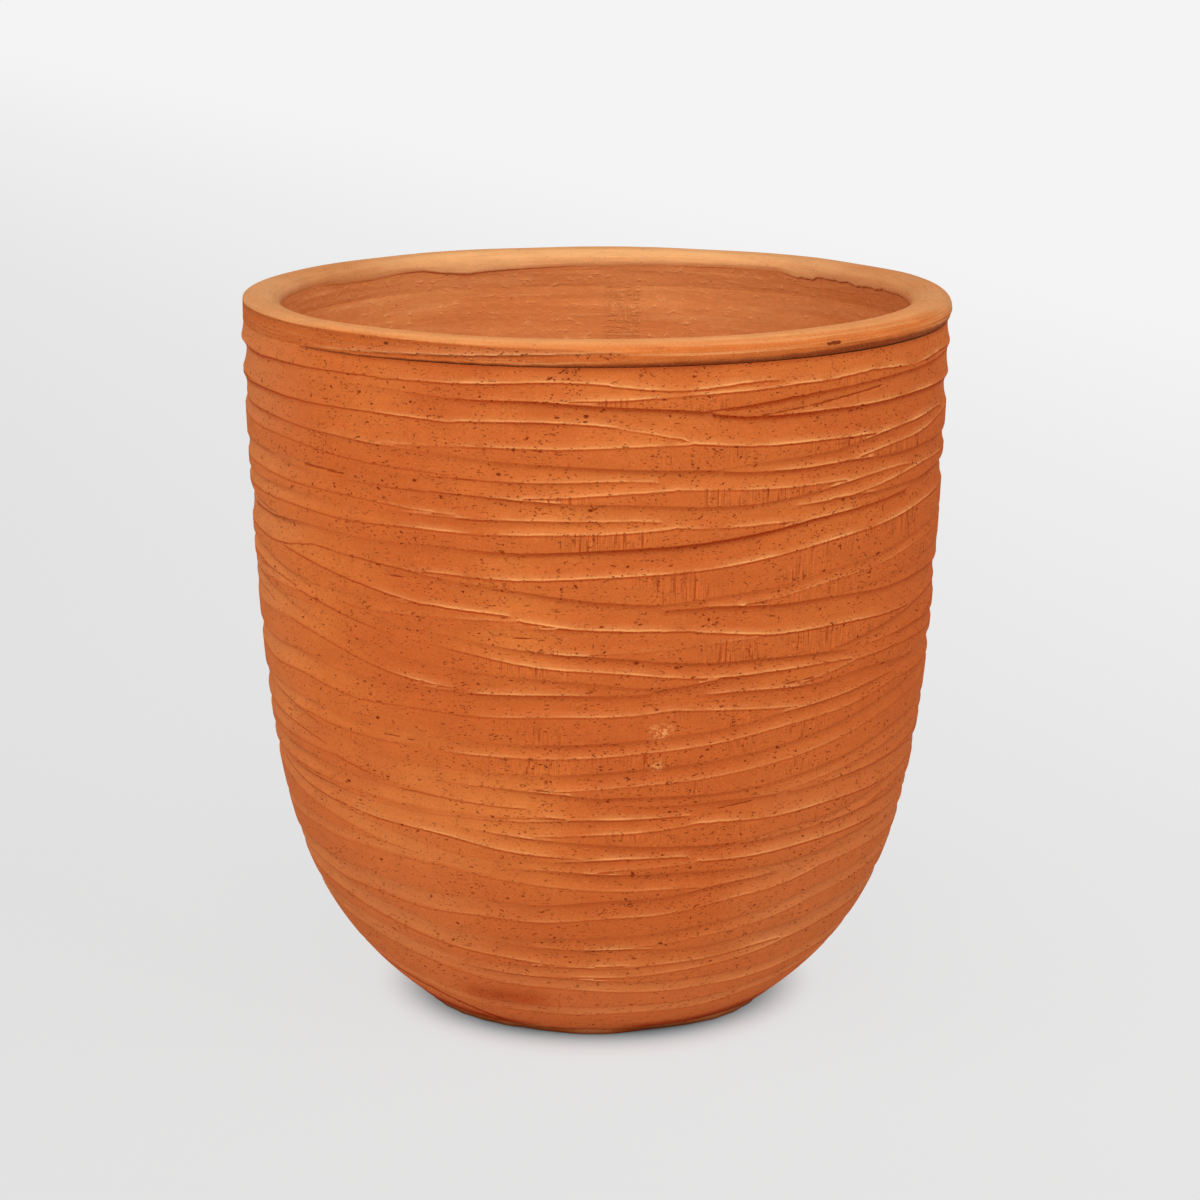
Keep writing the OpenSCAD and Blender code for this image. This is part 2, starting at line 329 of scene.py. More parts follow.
@dataclass(frozen=True)
class Carving:
    """The bands scraped out of the wall one over another, with their burrs, gouges and pits."""

    shape: PotShape
    depth: float = 1.8
    sink: float = 0.7
    rise: float = 0.45
    rise_flat: float = 0.4
    rise_dull: float = 0.3
    rise_most: float = 0.9
    held_flat: Stretch = Stretch(-64.0, -5.0, 20.0)
    flatter: float = 0.55
    edge_sway: float = 0.4
    edge_shake: float = 0.04
    uneven: float = 0.2
    sway: float = 0.25
    burr: float = 0.5
    burr_over: float = 0.8
    finer: int = 4
    bend_over: float = 0.5
    hollow_at: float = 3.0
    hollow_up: Limits = (0.03, 0.25)
    hollow_down: Limits = (0.03, 0.35)
    least_bend: float = 0.09
    full_bend: float = 0.135
    merge: Limits = (0.6, 2.6)
    pits: int = 60
    pit_wide: Limits = (1.1, 1.9)
    pit_deep: Limits = (0.4, 0.9)
    pit_flat: float = 0.55
    pit_reach: float = 2.0
    seed: int = 41

    def edge(self, number: int, angle: Array) -> Array:
        """Height of a band's lower edge.

        A smooth curve runs through twelve even readings: five in front, and behind them half a
        cosine wave from where the band leaves on the right to where it comes in on the left. A
        slow and a quick unevenness of the hand are added.

        Args:
            number: place of the band in BANDS.
            angle: angles at which it is wanted.

        Returns:
            The heights.
        """
        read = np.array(BANDS[number].heights)
        right = read[-1] + CARRY * (read[-1] - read[-2])
        left = read[0] + CARRY * (read[0] - read[1])
        swing = (1.0 + np.cos(np.linspace(0.0, pi, 360 // READ_STEP - len(READ_AT)))) / 2.0
        nodes = np.concatenate([read, left + (right - left) * swing])
        place = (angle - READ_AT[0]) / READ_STEP
        first = np.floor(place).astype(int)
        t = place - first
        a, b, c, d = (nodes[(first + k) % len(nodes)] for k in (-1, 0, 1, 2))
        curve = b + t * (c - a + t * (2 * a - 5 * b + 4 * c - d + t * (3 * b - a - 3 * c + d))) / 2
        slow = self.edge_sway * Waves(self.seed + number, 5, 16).at(angle)
        quick = self.edge_shake * Waves(2 * self.seed + number, 40, 110).at(angle)
        return curve + slow + quick

    def scraped(self, angle: Array, height: Array) -> tuple[Array, Array]:
        """Depth of the deepest band at each place, below 0, and which band that is.

        Across a band, from its lower edge up, the tool sinks as t * (2 - t), runs level, and comes
        out again as 1 - (1 - s) ** 3, so that a soft hollow ends in a crisp upper edge. On the left
        of the front the tool was held flatter, and the bands are shallower.

        Args:
            angle: angles, one per column.
            height: heights, one per row.

        Returns:
            Depths and places in BANDS, one outline per angle.
        """
        lowest = np.zeros((len(angle), len(height)))
        deepest = np.zeros(lowest.shape, dtype=int)
        flat = self.held_flat.at(angle)
        for number, band in enumerate(BANDS):
            above = height[None, :] - self.edge(number, angle)[:, None]
            press = 1.0 + self.uneven * Waves(3 * self.seed + number, 2, 9).at(angle)
            deep = (band.strength * self.depth * press * (1.0 - self.flatter * flat))[:, None]
            rise = self.rise + self.rise_flat * flat + self.rise_dull * (1.0 - band.sharp)
            rise = np.minimum(rise, self.rise_most)[:, None]
            t = np.clip(above / (self.sink * band.width), 0.0, 1.0)
            s = np.clip((band.width - above) / (rise * band.width), 0.0, 1.0)
            depth = -deep * t * (2.0 - t) * (1.0 - (1.0 - s) ** 3)
            deepest = np.where(depth < lowest, number, deepest)
            lowest = np.minimum(lowest, depth)
        return lowest, deepest

    def creases(self, angle: Array, height: Array) -> Creases:
        """The nearest creases between the bands, found on rows that lie closer than the mesh's.

        A crease is where the lean of the face falls most within bend_over on each side.

        Args:
            angle: angles, one per column.
            height: heights, one per row.

        Returns:
            The creases, one outline per angle.
        """
        count = (len(height) - 1) * self.finer
        close = np.linspace(height[0], height[-1], count + 1)
        step = close[1] - close[0]
        reach = int(round(self.bend_over / step))
        cut, band = self.scraped(angle, close)
        lean = np.gradient(cut, step, axis=1)
        bend = np.roll(lean, reach, axis=1) - np.roll(lean, -reach, axis=1)
        peak = bend > self.least_bend
        for shift in range(1, 2 * reach + 1):
            peak &= (bend >= np.roll(bend, shift, axis=1)) & (bend > np.roll(bend, -shift, axis=1))
        peak[:, : 2 * reach] = peak[:, -2 * reach :] = False
        row = np.arange(count + 1)
        under = np.maximum.accumulate(np.where(peak, row, -count), axis=1)
        over = np.minimum.accumulate(np.where(peak, row, 2 * count)[:, ::-1], axis=1)[:, ::-1]
        nearest = np.where(row - under <= over - row, under, over)
        kept = slice(None, None, self.finer)
        near = ((row - nearest) * step)[:, kept]
        at = np.clip(nearest, 0, count)[:, kept]
        hollow = int(round(self.hollow_at / step))
        above, below = np.roll(band, -reach, axis=1), np.roll(band, reach, axis=1)
        kept_up = s_curve(*self.merge, (np.roll(over, -1, axis=1) - row) * step)
        kept_down = s_curve(*self.merge, (row - np.roll(under, 1, axis=1)) * step)
        bent = s_curve(self.least_bend, self.full_bend, bend)
        deep_up = s_curve(*self.hollow_up, cut - np.roll(cut, -hollow, axis=1))
        deep_down = s_curve(*self.hollow_down, cut - np.roll(cut, hollow, axis=1))
        # Strengths of the painted highlight and shade line on lower edges, and of the painted shade on upper
        # edges
        painted_edge = np.array([b.painted_edge for b in BANDS])[above] * deep_up * kept_up * bent
        sharp = np.array([b.sharp for b in BANDS])[below] * deep_down * kept_down * bent
        shown = (np.take_along_axis(edge, at, axis=1) for edge in (painted_edge, sharp))
        return Creases(near, np.abs(near), *shown)

    def torn(self, angle: Array, height: Array) -> Array:
        """Depth of the gouges and pits: a bell across each gouge, and an oval bowl for each pit.

        Args:
            angle: angles, one per column.
            height: heights, one per row.

        Returns:
            Depths above 0, one outline per angle.
        """
        arc_length = radians(1.0) * self.shape.outer(height)[None, :]
        ragged = 0.9 + 0.15 * Waves(self.seed + 5, 50, 150, 9.0).at(angle[:, None], height[None, :])
        deep = np.zeros((len(angle), len(height)))
        for gouge in GOUGES:
            (first, low), (last, high) = gouge.start, gouge.end
            run = np.clip((angle - first) / (last - first), 0.0, 1.0)[:, None]
            side = (angle[:, None] - first - run * (last - first)) * arc_length
            away = np.hypot(side, height[None, :] - low - run * (high - low))
            deep = np.maximum(deep, gouge.depth * ragged * bell(2.0 * away / gouge.width))
        rng = np.random.default_rng(self.seed)
        spots = zip(
            rng.uniform(-185.0, 175.0, self.pits),
            rng.uniform(self.shape.foot + 8.0, self.shape.wall_top - 4.0, self.pits),
            rng.uniform(*self.pit_wide, self.pits),
            rng.uniform(*self.pit_deep, self.pits),
        )
        step = angle[1] - angle[0]
        for at, level, wide, depth in spots:
            near = np.flatnonzero(np.abs(angle - at) < self.pit_reach + step)
            if near.size:
                side = (angle[near, None] - at) * arc_length / wide
                up = (height[None, :] - level) / (self.pit_flat * wide)
                deep[near] = np.maximum(deep[near], depth * bell(np.hypot(side, up)))
        return deep

    def lit(self, angle: Array, height: Array) -> Array:
        """Where the lower edges get a painted highlight: not on the left, where they stay dark lines.

        The painted highlight is duller low on the wall and on its right, and strong again behind.

        Args:
            angle: angles, as a column.
            height: heights, as a row.

        Returns:
            1 where an edge's painted highlight is strongest, and 0 where it has none.
        """
        right = 62.0 + 24.0 * s_curve(200.0, 320.0, height)
        left = -27.0 + 9.0 * Waves(self.seed + 8, 0, 2, 30.0).at(angle, height)
        front = s_curve(left - 14.0, left + 14.0, angle) * (1.0 - s_curve(right - 24.0, right, angle))
        low = 0.4 * (1.0 - s_curve(90.0, 190.0, height))
        turned = 0.35 * s_curve(16.0, 34.0, angle) * (1.0 - s_curve(230.0, 290.0, height))
        front = front * (1.0 - np.maximum(low, turned)) * (np.abs(angle) < 90.0)
        lit = np.maximum(front, 0.8 * Stretch(105.0, 290.0, 30.0).at(angle))
        return lit * (0.85 + 0.3 * Waves(self.seed + 7, 9, 30, 60.0).at(angle, height))

    def turned(self, angle: Array) -> Array:
        """Where the wall is turned from the light on the left: 0 there, and 1 elsewhere."""
        return 1.0 - Stretch(-70.0, -6.0, 26.0).at(angle)

    def dropped(self, angle: Array, height: Array) -> Array:
        """How dark the painted shade under the upper edges is.

        It is darkest at the top on the right, and least low on the left.

        Args:
            angle: angles, as a column.
            height: heights, as a row.

        Returns:
            A factor for every angle and height.
        """
        high = Stretch(12.0, 42.0, 12.0).at(angle) * s_curve(230.0, 290.0, height)
        low = s_curve(40.0, 70.0, height) * (1.0 - s_curve(90.0, 190.0, height))
        low = low * Stretch(-45.0, 0.0, 20.0).at(angle)
        return (0.2 + 0.8 * self.turned(angle)) * (1.0 + 0.35 * (high - low))

    def shaded(self, angle: Array, height: Array, lean: Array) -> Array:
        """Shade under the rim, at the foot on both sides of the front, and on faces that lean out.

        Args:
            angle: angles, as a column.
            height: heights, as a row.
            lean: how far the face leans out, one outline per angle.

        Returns:
            The shade, one outline per angle.
        """
        under = (1.0 - s_curve(0.0, 4.5, self.shape.wall_top - height)) ** 2
        under = under * Stretch(-55.0, 100.0, 20.0).at(angle)
        reach = 4.0 + 6.0 * s_curve(15.0, 60.0, np.abs(angle))
        foot = 2.0 * (1.0 - s_curve(0.3 * reach, reach + 3.0, height - self.shape.foot))
        foot = foot * (1.0 - Stretch(-27.0, 16.0, 12.0).at(angle))
        return np.maximum(s_curve(0.3, 1.3, lean) * self.turned(angle), np.maximum(under, foot))

    def relief(self, angle: Array, height: Array) -> Relief:
        """The whole face: bands, their burrs, a slow unevenness, gouges and pits.

        What stands out from a short blur up the wall, with a face that leans back above it, is
        raised by the burr that the tool pushes up.

        Args:
            angle: angles, one per column.
            height: heights, one per row.

        Returns:
            The relief, one outline per angle.
        """
        around, level = angle[:, None], height[None, :]
        cut, _ = self.scraped(angle, height)
        step = height[1] - height[0]
        lean = np.gradient(cut, step, axis=1)
        proud = np.clip(cut - blurred(cut, self.burr_over / step), 0.0, None) * s_curve(0.03, 0.15, -lean)
        torn = self.torn(angle, height)
        slow = Waves(self.seed + 9, 2, 7, 170.0).at(around, level)
        creases = self.creases(angle, height)
        burnt = (1.0 - s_curve(220.0, 320.0, level)) * s_curve(30.0, 90.0, level)
        return Relief(
            height=cut + self.burr * proud + self.sway * slow - torn,
            land=1.0 - s_curve(0.03, 0.16, -cut),
            near=creases.near,
            clear=creases.clear,
            # Painted highlight on the lower edges, then the painted shade of the creases, the rim and the
            # foot
            bright=creases.painted_edge * np.clip(self.lit(around, level), 0.0, 1.0),
            line=creases.painted_edge,
            drop=creases.sharp * self.dropped(around, level),
            shade=self.shaded(around, level, lean),
            torn=s_curve(0.1, 0.6, torn),
            stain=STAIN.at(around, level),
            bloom=sum(bloom.at(around, level) for bloom in BLOOMS),
            burnt=burnt * Stretch(-12.0, 33.0, 12.0).at(around),
        )


@dataclass(frozen=True)
class Sheet:
    """A closed outline carried along angles, with marks for its finish, one outline per angle."""

    angle: Array
    radius: Array
    height: Array
    closed: bool
    marks: dict[str, Array] = field(default_factory=dict)

    def points(self) -> Array:
        """Places in metres: radius * sin(angle), -radius * cos(angle), height.

        Returns:
            One place per row, ordered by angle and then along the outline.
        """
        around = np.radians(self.angle)[:, None]
        places = [self.radius * np.sin(around), -self.radius * np.cos(around), self.height]
        return np.stack(places, axis=-1).reshape(-1, 3) * MM

    def faces(self) -> tuple[Array, list[list[int]]]:
        """Four-sided faces round the outline and along the angles, and the two end caps.

        Returns:
            The faces, ordered by angle and then along the outline, and the caps, if the sheet is
            open.
        """
        columns, rows = self.radius.shape
        column = np.arange(columns if self.closed else columns - 1)[:, None]
        row = np.arange(rows)[None, :]
        here, after = column * rows, (column + 1) % columns * rows
        above = (row + 1) % rows
        corners = np.broadcast_arrays(here + row, after + row, after + above, here + above)
        quads = np.stack(corners, axis=-1).reshape(-1, 4)
        first = list(range(rows))
        last = list(range((columns - 1) * rows, columns * rows))
        return quads, [] if self.closed else [first, last[::-1]]

    def piece(self, name: str, round_at: float) -> bpy.types.Object:
        """The sheet as a mesh object with its marks as attributes.

        Args:
            name: name of the object.
            round_at: angle between faces above which an edge stays sharp, in degrees.

        Returns:
            The object, linked to the scene.
        """
        quads, caps = self.faces()
        mesh = bpy.data.meshes.new(name)
        mesh.from_pydata(self.points().tolist(), [], quads.tolist() + caps)
        mesh.polygons.foreach_set("use_smooth", np.ones(len(mesh.polygons), dtype=bool))
        mesh.set_sharp_from_angle(angle=radians(round_at))
        for mark, values in self.marks.items():
            spread = np.broadcast_to(values, self.radius.shape)
            layer = mesh.attributes.new(mark, "FLOAT", "POINT")
            layer.data.foreach_set("value", np.ascontiguousarray(spread, dtype=np.float32).reshape(-1))
        mesh.update()
        made = bpy.data.objects.new(name, mesh)
        bpy.context.scene.collection.objects.link(made)
        return made


def evened(outline: Array, count: int) -> Array:
    """Points at even distances along a closed outline.

    Args:
        outline: corners of the outline, as radius and height.
        count: how many points are wanted.

    Returns:
        The points, starting at the first corner.
    """
    ring = np.vstack([outline, outline[:1]])
    far = np.concatenate([[0.0], np.cumsum(np.hypot(*np.diff(ring, axis=0).T))])
    at = np.linspace(0.0, far[-1], count, endpoint=False)
    return np.stack([np.interp(at, far, ring[:, 0]), np.interp(at, far, ring[:, 1])], axis=-1)


def arc(middle: tuple[float, float], radius: float, start: float, end: float) -> Array:
    """Points along an arc of the section, with both ends, from one angle in degrees to another."""
    a = np.radians(np.linspace(start, end, 17))
    return np.stack([middle[0] + radius * np.cos(a), middle[1] + radius * np.sin(a)], axis=-1)


def outward(outline: Array) -> Array:
    """Directions out of a closed outline which runs anticlockwise.

    Args:
        outline: its points, as radius and height.

    Returns:
        One vector of length 1 for each point.
    """
    ahead = np.roll(outline, -1, axis=0) - np.roll(outline, 1, axis=0)
    ahead = ahead / np.hypot(ahead[:, :1], ahead[:, 1:])
    return np.stack([ahead[:, 1], -ahead[:, 0]], axis=-1)


@dataclass(frozen=True)
class Field:
    """A socket in a material's node tree, used in sums like a number."""

    nodes: "ClayNodes"
    socket: bpy.types.NodeSocket

    def other(self, output: str) -> "Field":
        """Another output of the same node."""
        return Field(self.nodes, self.socket.node.outputs[output])

    def _math(self, operation: str, a: Value, b: Value) -> "Field":
        """One Math node on two values."""
        return self.nodes.node("ShaderNodeMath", {"operation": operation}, {0: a, 1: b})

    def __add__(self, b: Value) -> "Field":
        """self + b."""
        return self._math("ADD", self, b)

    def __radd__(self, a: Value) -> "Field":
        """a + self."""
        return self._math("ADD", a, self)

    def __sub__(self, b: Value) -> "Field":
        """self - b."""
        return self._math("SUBTRACT", self, b)

    def __rsub__(self, a: Value) -> "Field":
        """a - self."""
        return self._math("SUBTRACT", a, self)

    def __mul__(self, b: Value) -> "Field":
        """self * b."""
        return self._math("MULTIPLY", self, b)

    def __rmul__(self, a: Value) -> "Field":
        """a * self."""
        return self._math("MULTIPLY", a, self)

    def __gt__(self, b: Value) -> "Field":
        """1 where self is greater than b, and 0 elsewhere."""
        return self._math("GREATER_THAN", self, b)

    def highest(self, b: Value) -> "Field":
        """The greater of the two values."""
        return self._math("MAXIMUM", self, b)

    def curve(self, low: Value, high: Value) -> "Field":
        """0 below low, 1 above high, and a smooth S between them."""
        inputs = {"Value": self, "From Min": low, "From Max": high}
        return self.nodes.node("ShaderNodeMapRange", {"interpolation_type": "SMOOTHSTEP"}, inputs)


class ClayNodes:
    """The node tree of one material, with the patterns that fired clay shows."""

    def __init__(self, name: str) -> None:
        """Starts an empty material.

        Args:
            name: name of the material.
        """
        self.material = bpy.data.materials.new(name)
        self.material.use_nodes = True
        self.tree = self.material.node_tree
        self.tree.nodes.clear()

    def node(self, kind: str, settings: dict, inputs: dict, output: Union[int, str] = 0) -> Field:
        """Adds one node.

        Args:
            kind: type of the node.
            settings: its settings, which are set first.
            inputs: values or links of its sockets, by name or place.
            output: the output that is wanted.

        Returns:
            That output.
        """
        made = self.tree.nodes.new(kind)
        for key, value in settings.items():
            setattr(made, key, value)
        for key, value in inputs.items():
            socket = made.inputs[key]
            if isinstance(value, Field):
                self.tree.links.new(value.socket, socket)
            elif socket.type == "RGBA":
                socket.default_value = (*value, 1.0)
            else:
                socket.default_value = value
        return Field(self, made.outputs[output] if made.outputs else None)

    def vector(self, operation: str, inputs: dict, output: Union[int, str] = 0) -> Field:
        """One Vector Math node."""
        return self.node("ShaderNodeVectorMath", {"operation": operation}, inputs, output)

    def place(self, around: float = 1.0, up: float = 1.0, warp: float = 0.0) -> Field:
        """Where a point is on the pot, for a pattern that is drawn out.

        Args:
            around: how much longer the pattern is along the wall.
            up: how much taller it is.
            warp: how far its outlines wander, in millimetres.

        Returns:
            The place as a vector in metres.
        """
        here = self.node("ShaderNodeTexCoord", {}, {}, "Object")
        if warp:
            inputs = {"Vector": here, "Scale": 1.0 / (2.0 * MM), "Detail": 2.0}
            wander = self.node("ShaderNodeTexNoise", {}, inputs, "Color")
            shift = {0: wander, 1: (2.0 * warp * MM,) * 3, 2: (-warp * MM,) * 3}
            here = self.vector("ADD", {0: here, 1: self.vector("MULTIPLY_ADD", shift)})
        return self.vector("MULTIPLY", {0: here, 1: (1.0 / around, 1.0 / around, 1.0 / up)})

    def mark(self, name: str) -> Field:
        """An attribute of the mesh."""
        return self.node("ShaderNodeAttribute", {"attribute_name": name}, {}, "Fac")

    def noise(self, size: float, around: float = 1.0, up: float = 1.0, detail: float = 3.0) -> Field:
        """Soft noise whose spots are about size millimetres wide, drawn out around or up."""
        inputs = {"Vector": self.place(around, up), "Scale": 1.0 / (size * MM), "Detail": detail}
        return self.node("ShaderNodeTexNoise", {}, inputs)

    def rolled(self, size: float, along: float, detail: float = 3.0, reach: float = 190.0) -> Field:
        """Soft noise on the skin of the rim, drawn out round the pot.

        Its place is the direction from the middle, times a shortened rim radius, and the distance
        across the coil's section.

        Args:
            size: width of a spot across the section, in millimetres.
            along: how much longer it is round the pot.
            detail: how many finer layers it has.
            reach: radius of the rim, in millimetres.

        Returns:
            The noise.
        """
        flat = self.vector("MULTIPLY", {0: self.place(), 1: (1.0, 1.0, 0.0)})
        ahead = self.vector("NORMALIZE", {0: flat})
        ring = self.vector("SCALE", {0: ahead, "Scale": reach * MM / along})
        across = self.node("ShaderNodeCombineXYZ", {}, {"Z": self.mark("across")})
        at = self.vector("ADD", {0: ring, 1: across})
        inputs = {"Vector": at, "Scale": 1.0 / (size * MM), "Detail": detail}
        return self.node("ShaderNodeTexNoise", {}, inputs)

    def spots(self, cell: float, largest: float, share: float, around: float = 1.6) -> Field:
        """Scattered ragged spots, at most one in each cell of clay.

        Args:
            cell: width of a cell, in millimetres.
            largest: radius of the largest spot, in millimetres.
            share: share of the cells that have one.
            around: how much longer a spot is along the wall than up it.

        Returns:
            1 inside a spot and 0 outside.
        """
        inputs = {"Vector": self.place(around, 1.0, 0.5 * largest), "Scale": 1.0 / (cell * MM)}
        near = self.node("ShaderNodeTexVoronoi", {}, inputs)
        chance = self.node("ShaderNodeSeparateColor", {}, {"Color": near.other("Color")})
        radius = (0.4 + 0.6 * chance) * (largest / cell)
        inside = 1.0 - near.curve(radius * 0.4, radius)
        return inside * (1.0 - (chance.other("Green") > share))

    def pores(self) -> Field:
        """Torn pores: fine dashes in patches, small ragged pits in larger ones, and a few large pits.

        Returns:
            Their depth, from 0 to 1.
        """
        dashes = self.noise(0.8, around=2.4, detail=1.0).curve(0.64, 0.73)
        dashes = dashes * self.noise(8.0, around=1.5, detail=2.0).curve(0.39, 0.53)
        pits = self.noise(1.7, around=1.7, detail=2.0).curve(0.66, 0.71)
        pits = pits * self.noise(15.0, around=1.5, detail=2.0).curve(0.46, 0.56)
        return (dashes * 0.7).highest(pits * 0.95).highest(self.spots(13.0, 1.2, 0.5))

    def crease(self) -> tuple[Field, Field, Field]:
        """Three painted lines along the nearest crease: a highlight and two of shade.

        Where near and clear disagree, the nearest crease changes from one to another, and there is
        no line.

        Returns:
            The painted highlight over the crease, the painted shade line under it, and the painted shade
            that fades below.
        """
        near, clear = self.mark("near"), self.mark("clear")
        sure = 1.0 - (clear - near.highest(near * -1.0)).curve(0.4, 0.7)
        # How the painted highlight fades above the crease
        painted_edge = 0.66 * (1.0 - near.curve(0.4, 1.4)) + 0.34 * (1.0 - near.curve(0.5, 4.5))
        over = near.curve(-0.15, 0.3) * painted_edge * sure * self.mark("bright")
        under = near.curve(-1.5, -0.6) * (1.0 - near.curve(-0.3, 0.0)) * sure * self.mark("line")
        fading = near.curve(-5.5, -0.2)
        drop = fading * fading * (1.0 - near.curve(-0.25, 0.1)) * sure * self.mark("drop")
        return over, under, drop

    def side(self) -> Field:
        """How far a point is to the right of the middle, in metres."""
        return self.node("ShaderNodeSeparateXYZ", {}, {"Vector": self.place()})

    def blend(self, share: Value, a: Any, b: Any) -> Field:
        """A colour that goes from a to b as share goes from 0 to 1."""
        settings = {"data_type": "RGBA", "clamp_factor": True}
        return self.node("ShaderNodeMix", settings, {0: share, 6: a, 7: b}, 2)

    def coated(self, colour: Any, *coats: tuple[Value, Colour]) -> Field:
        """A colour under coats of other colours.

        Args:
            colour: the colour below.
            coats: how far each coat covers what is under it, and its colour.

        Returns:
            The colour that shows.
        """
        for share, coat in coats:
            colour = self.blend(share, colour, coat)
        return colour

    def scaled(self, colour: Field, by: Field) -> Field:
        """A colour made lighter or darker by a factor."""
        return self.vector("SCALE", {0: colour, "Scale": by})

    def clay(self, colour: Field, rough: Field, height: Field, relief: float) -> bpy.types.Material:
        """Ends the tree in matt clay.

        Args:
            colour: its colour.
            rough: its roughness.
            height: its fine relief, where 1 is relief millimetres.
            relief: that height, in millimetres.

        Returns:
            The material.
        """
        bump = {"Strength": 1.0, "Distance": relief * MM, "Height": height}
        normal = self.node("ShaderNodeBump", {}, bump)
        inputs = {"Base Color": colour, "Roughness": rough, "Normal": normal}
        inputs["Specular IOR Level"] = CLAY_SHINE
        clay = self.node("ShaderNodeBsdfPrincipled", {}, inputs)
        self.node("ShaderNodeOutputMaterial", {}, {"Surface": clay})
        return self.material


@dataclass(frozen=True)
class ScrapedClay:
    """Outside of the wall: scraped red clay with torn pores, darker lands, and painted light and shade."""

    name: str = "scraped_clay"
    body: Colour = (0.633, 0.165, 0.034)
    # Red clay of the patches, lands and burnt stretch, also laid on as painted shade at the right and upper
    # left
    red: Colour = (0.533, 0.109, 0.022)
    # Tan of the painted reflection on the left edge and of the painted light low down
    tan: Colour = (0.603, 0.197, 0.062)
    # Dark for painted shade under the creases, rim and foot, and for cloth marks, stain and gouges
    deep: Colour = (0.335, 0.034, 0.003)
    # Pale for the painted highlights on the edges, and for the bloom and specks
    pale: Colour = (0.835, 0.348, 0.115)
    dusty: Colour = (0.743, 0.316, 0.112)
    ember: Colour = (0.430, 0.062, 0.008)
    pit: Colour = (0.190, 0.015, 0.001)

    def material(self) -> bpy.types.Material:
        """The finish, which reads the marks of the relief.

        The fired tint changes over the wall in patches, with darker lands and a burnt stretch.
        On it lie painted light and shade: a paler painted reflection along the left edge, painted
        shade that reddens the right side and the upper left under the rim, painted light that pales
        the lower wall and the foot, painted shade under the rim and at the foot's sides, and the
        creases' painted shade and highlights. Then come the cloth's upright marks, the stain and the
        bloom, and on top of a mottled tone the grain, specks and pores.

        Returns:
            The material.
        """
        n = ClayNodes(self.name)
        land, torn = n.mark("land"), n.mark("torn")
        over, under, drop = n.crease()
        right, up = n.side(), n.side().other("Z")
        left = right * -1.0
        patch = n.noise(70.0, around=1.8)
        mottle = n.noise(6.0, around=2.0, detail=4.0)
        grain = n.noise(0.7, around=1.4, detail=2.0)
        hairs = n.noise(0.9, around=30.0, detail=2.0)
        ribs = n.noise(0.8, up=45.0, detail=1.0)
        ribbed = land * n.noise(26.0, around=1.6, detail=2.0).curve(0.46, 0.60)
        ribbed = ribbed * right.curve(-0.08, -0.02) * up.curve(0.10, 0.14)
        split = n.noise(1.5, up=20.0, detail=2.0).curve(0.60, 0.68) * ribbed
        pores = n.pores()
        bite = (torn * 1.2 + n.noise(0.9, around=2.0) * 0.5).curve(0.70, 1.10) * 0.75
        specks = n.noise(0.8, around=1.5, detail=1.0).curve(0.72, 0.80) * patch.curve(0.40, 0.60)
        bloom = n.mark("bloom") * n.noise(1.2, around=1.4, detail=2.0).curve(0.44, 0.60)
        low = (1.0 - up.curve(0.05, 0.20)) * (0.15 + 0.5 * right.highest(left).curve(0.03, 0.11))
        colour = n.coated(
            n.blend(patch.curve(0.34, 0.66), self.red, self.body),
            # Painted shade: redder towards the right side, less so high up
            (right.curve(0.0, 0.10) * (0.7 - 0.3 * up.curve(0.25, 0.33)), self.red),
            # Painted shade: redder on the upper left, under the rim
            (left.curve(0.05, 0.12) * up.curve(0.26, 0.31) * 0.3, self.red),
            # Painted reflection: paler tan along the left edge
            (left.curve(0.13, 0.19) * 0.7, self.tan),
            # Painted light: paler tan low on the sides and at the foot
            (low.highest((1.0 - up.curve(0.02, 0.08)) * 0.7), self.tan),
            ((land * 0.5).highest(n.mark("burnt") * 0.85), self.red),
            # Painted shade: under the rim and at the foot, under the upper edges, and in a line under each
            # crease
            (n.mark("shade") * 0.5, self.deep),
            (drop * 0.85, self.deep),
            (under * (0.5 + 0.5 * mottle), self.deep),
            # Painted highlight along the lower edges
            (over * mottle.curve(0.15, 0.5) * 0.95, self.pale),
            (split * 0.7, self.deep),
            (n.mark("stain") * (0.3 + 0.6 * mottle), self.deep),
            (bloom * 0.8, self.pale),
        )
        tone = 0.78 + 0.20 * mottle + 0.14 * hairs + 0.10 * grain
        # The last term is painted light, lighter towards the foot
        tone = tone + (ribs - 0.5) * ribbed * 0.9 + (1.0 - up.curve(0.01, 0.07)) * 0.14
        colour = n.coated(
            n.scaled(colour, tone),
            (grain.curve(0.50, 0.85) * 0.30, self.dusty),
            ((1.0 - grain).curve(0.52, 0.85) * 0.28, self.ember),
            (specks * 0.6, self.pale),
            (bite, self.deep),
            (pores * 0.9, self.pit),
        )
        height = grain * 0.15 + hairs * 0.15 + mottle * 0.25 - pores.highest(bite) - split * 0.4
        return n.clay(colour, 0.74 + 0.16 * grain, height, 0.6)


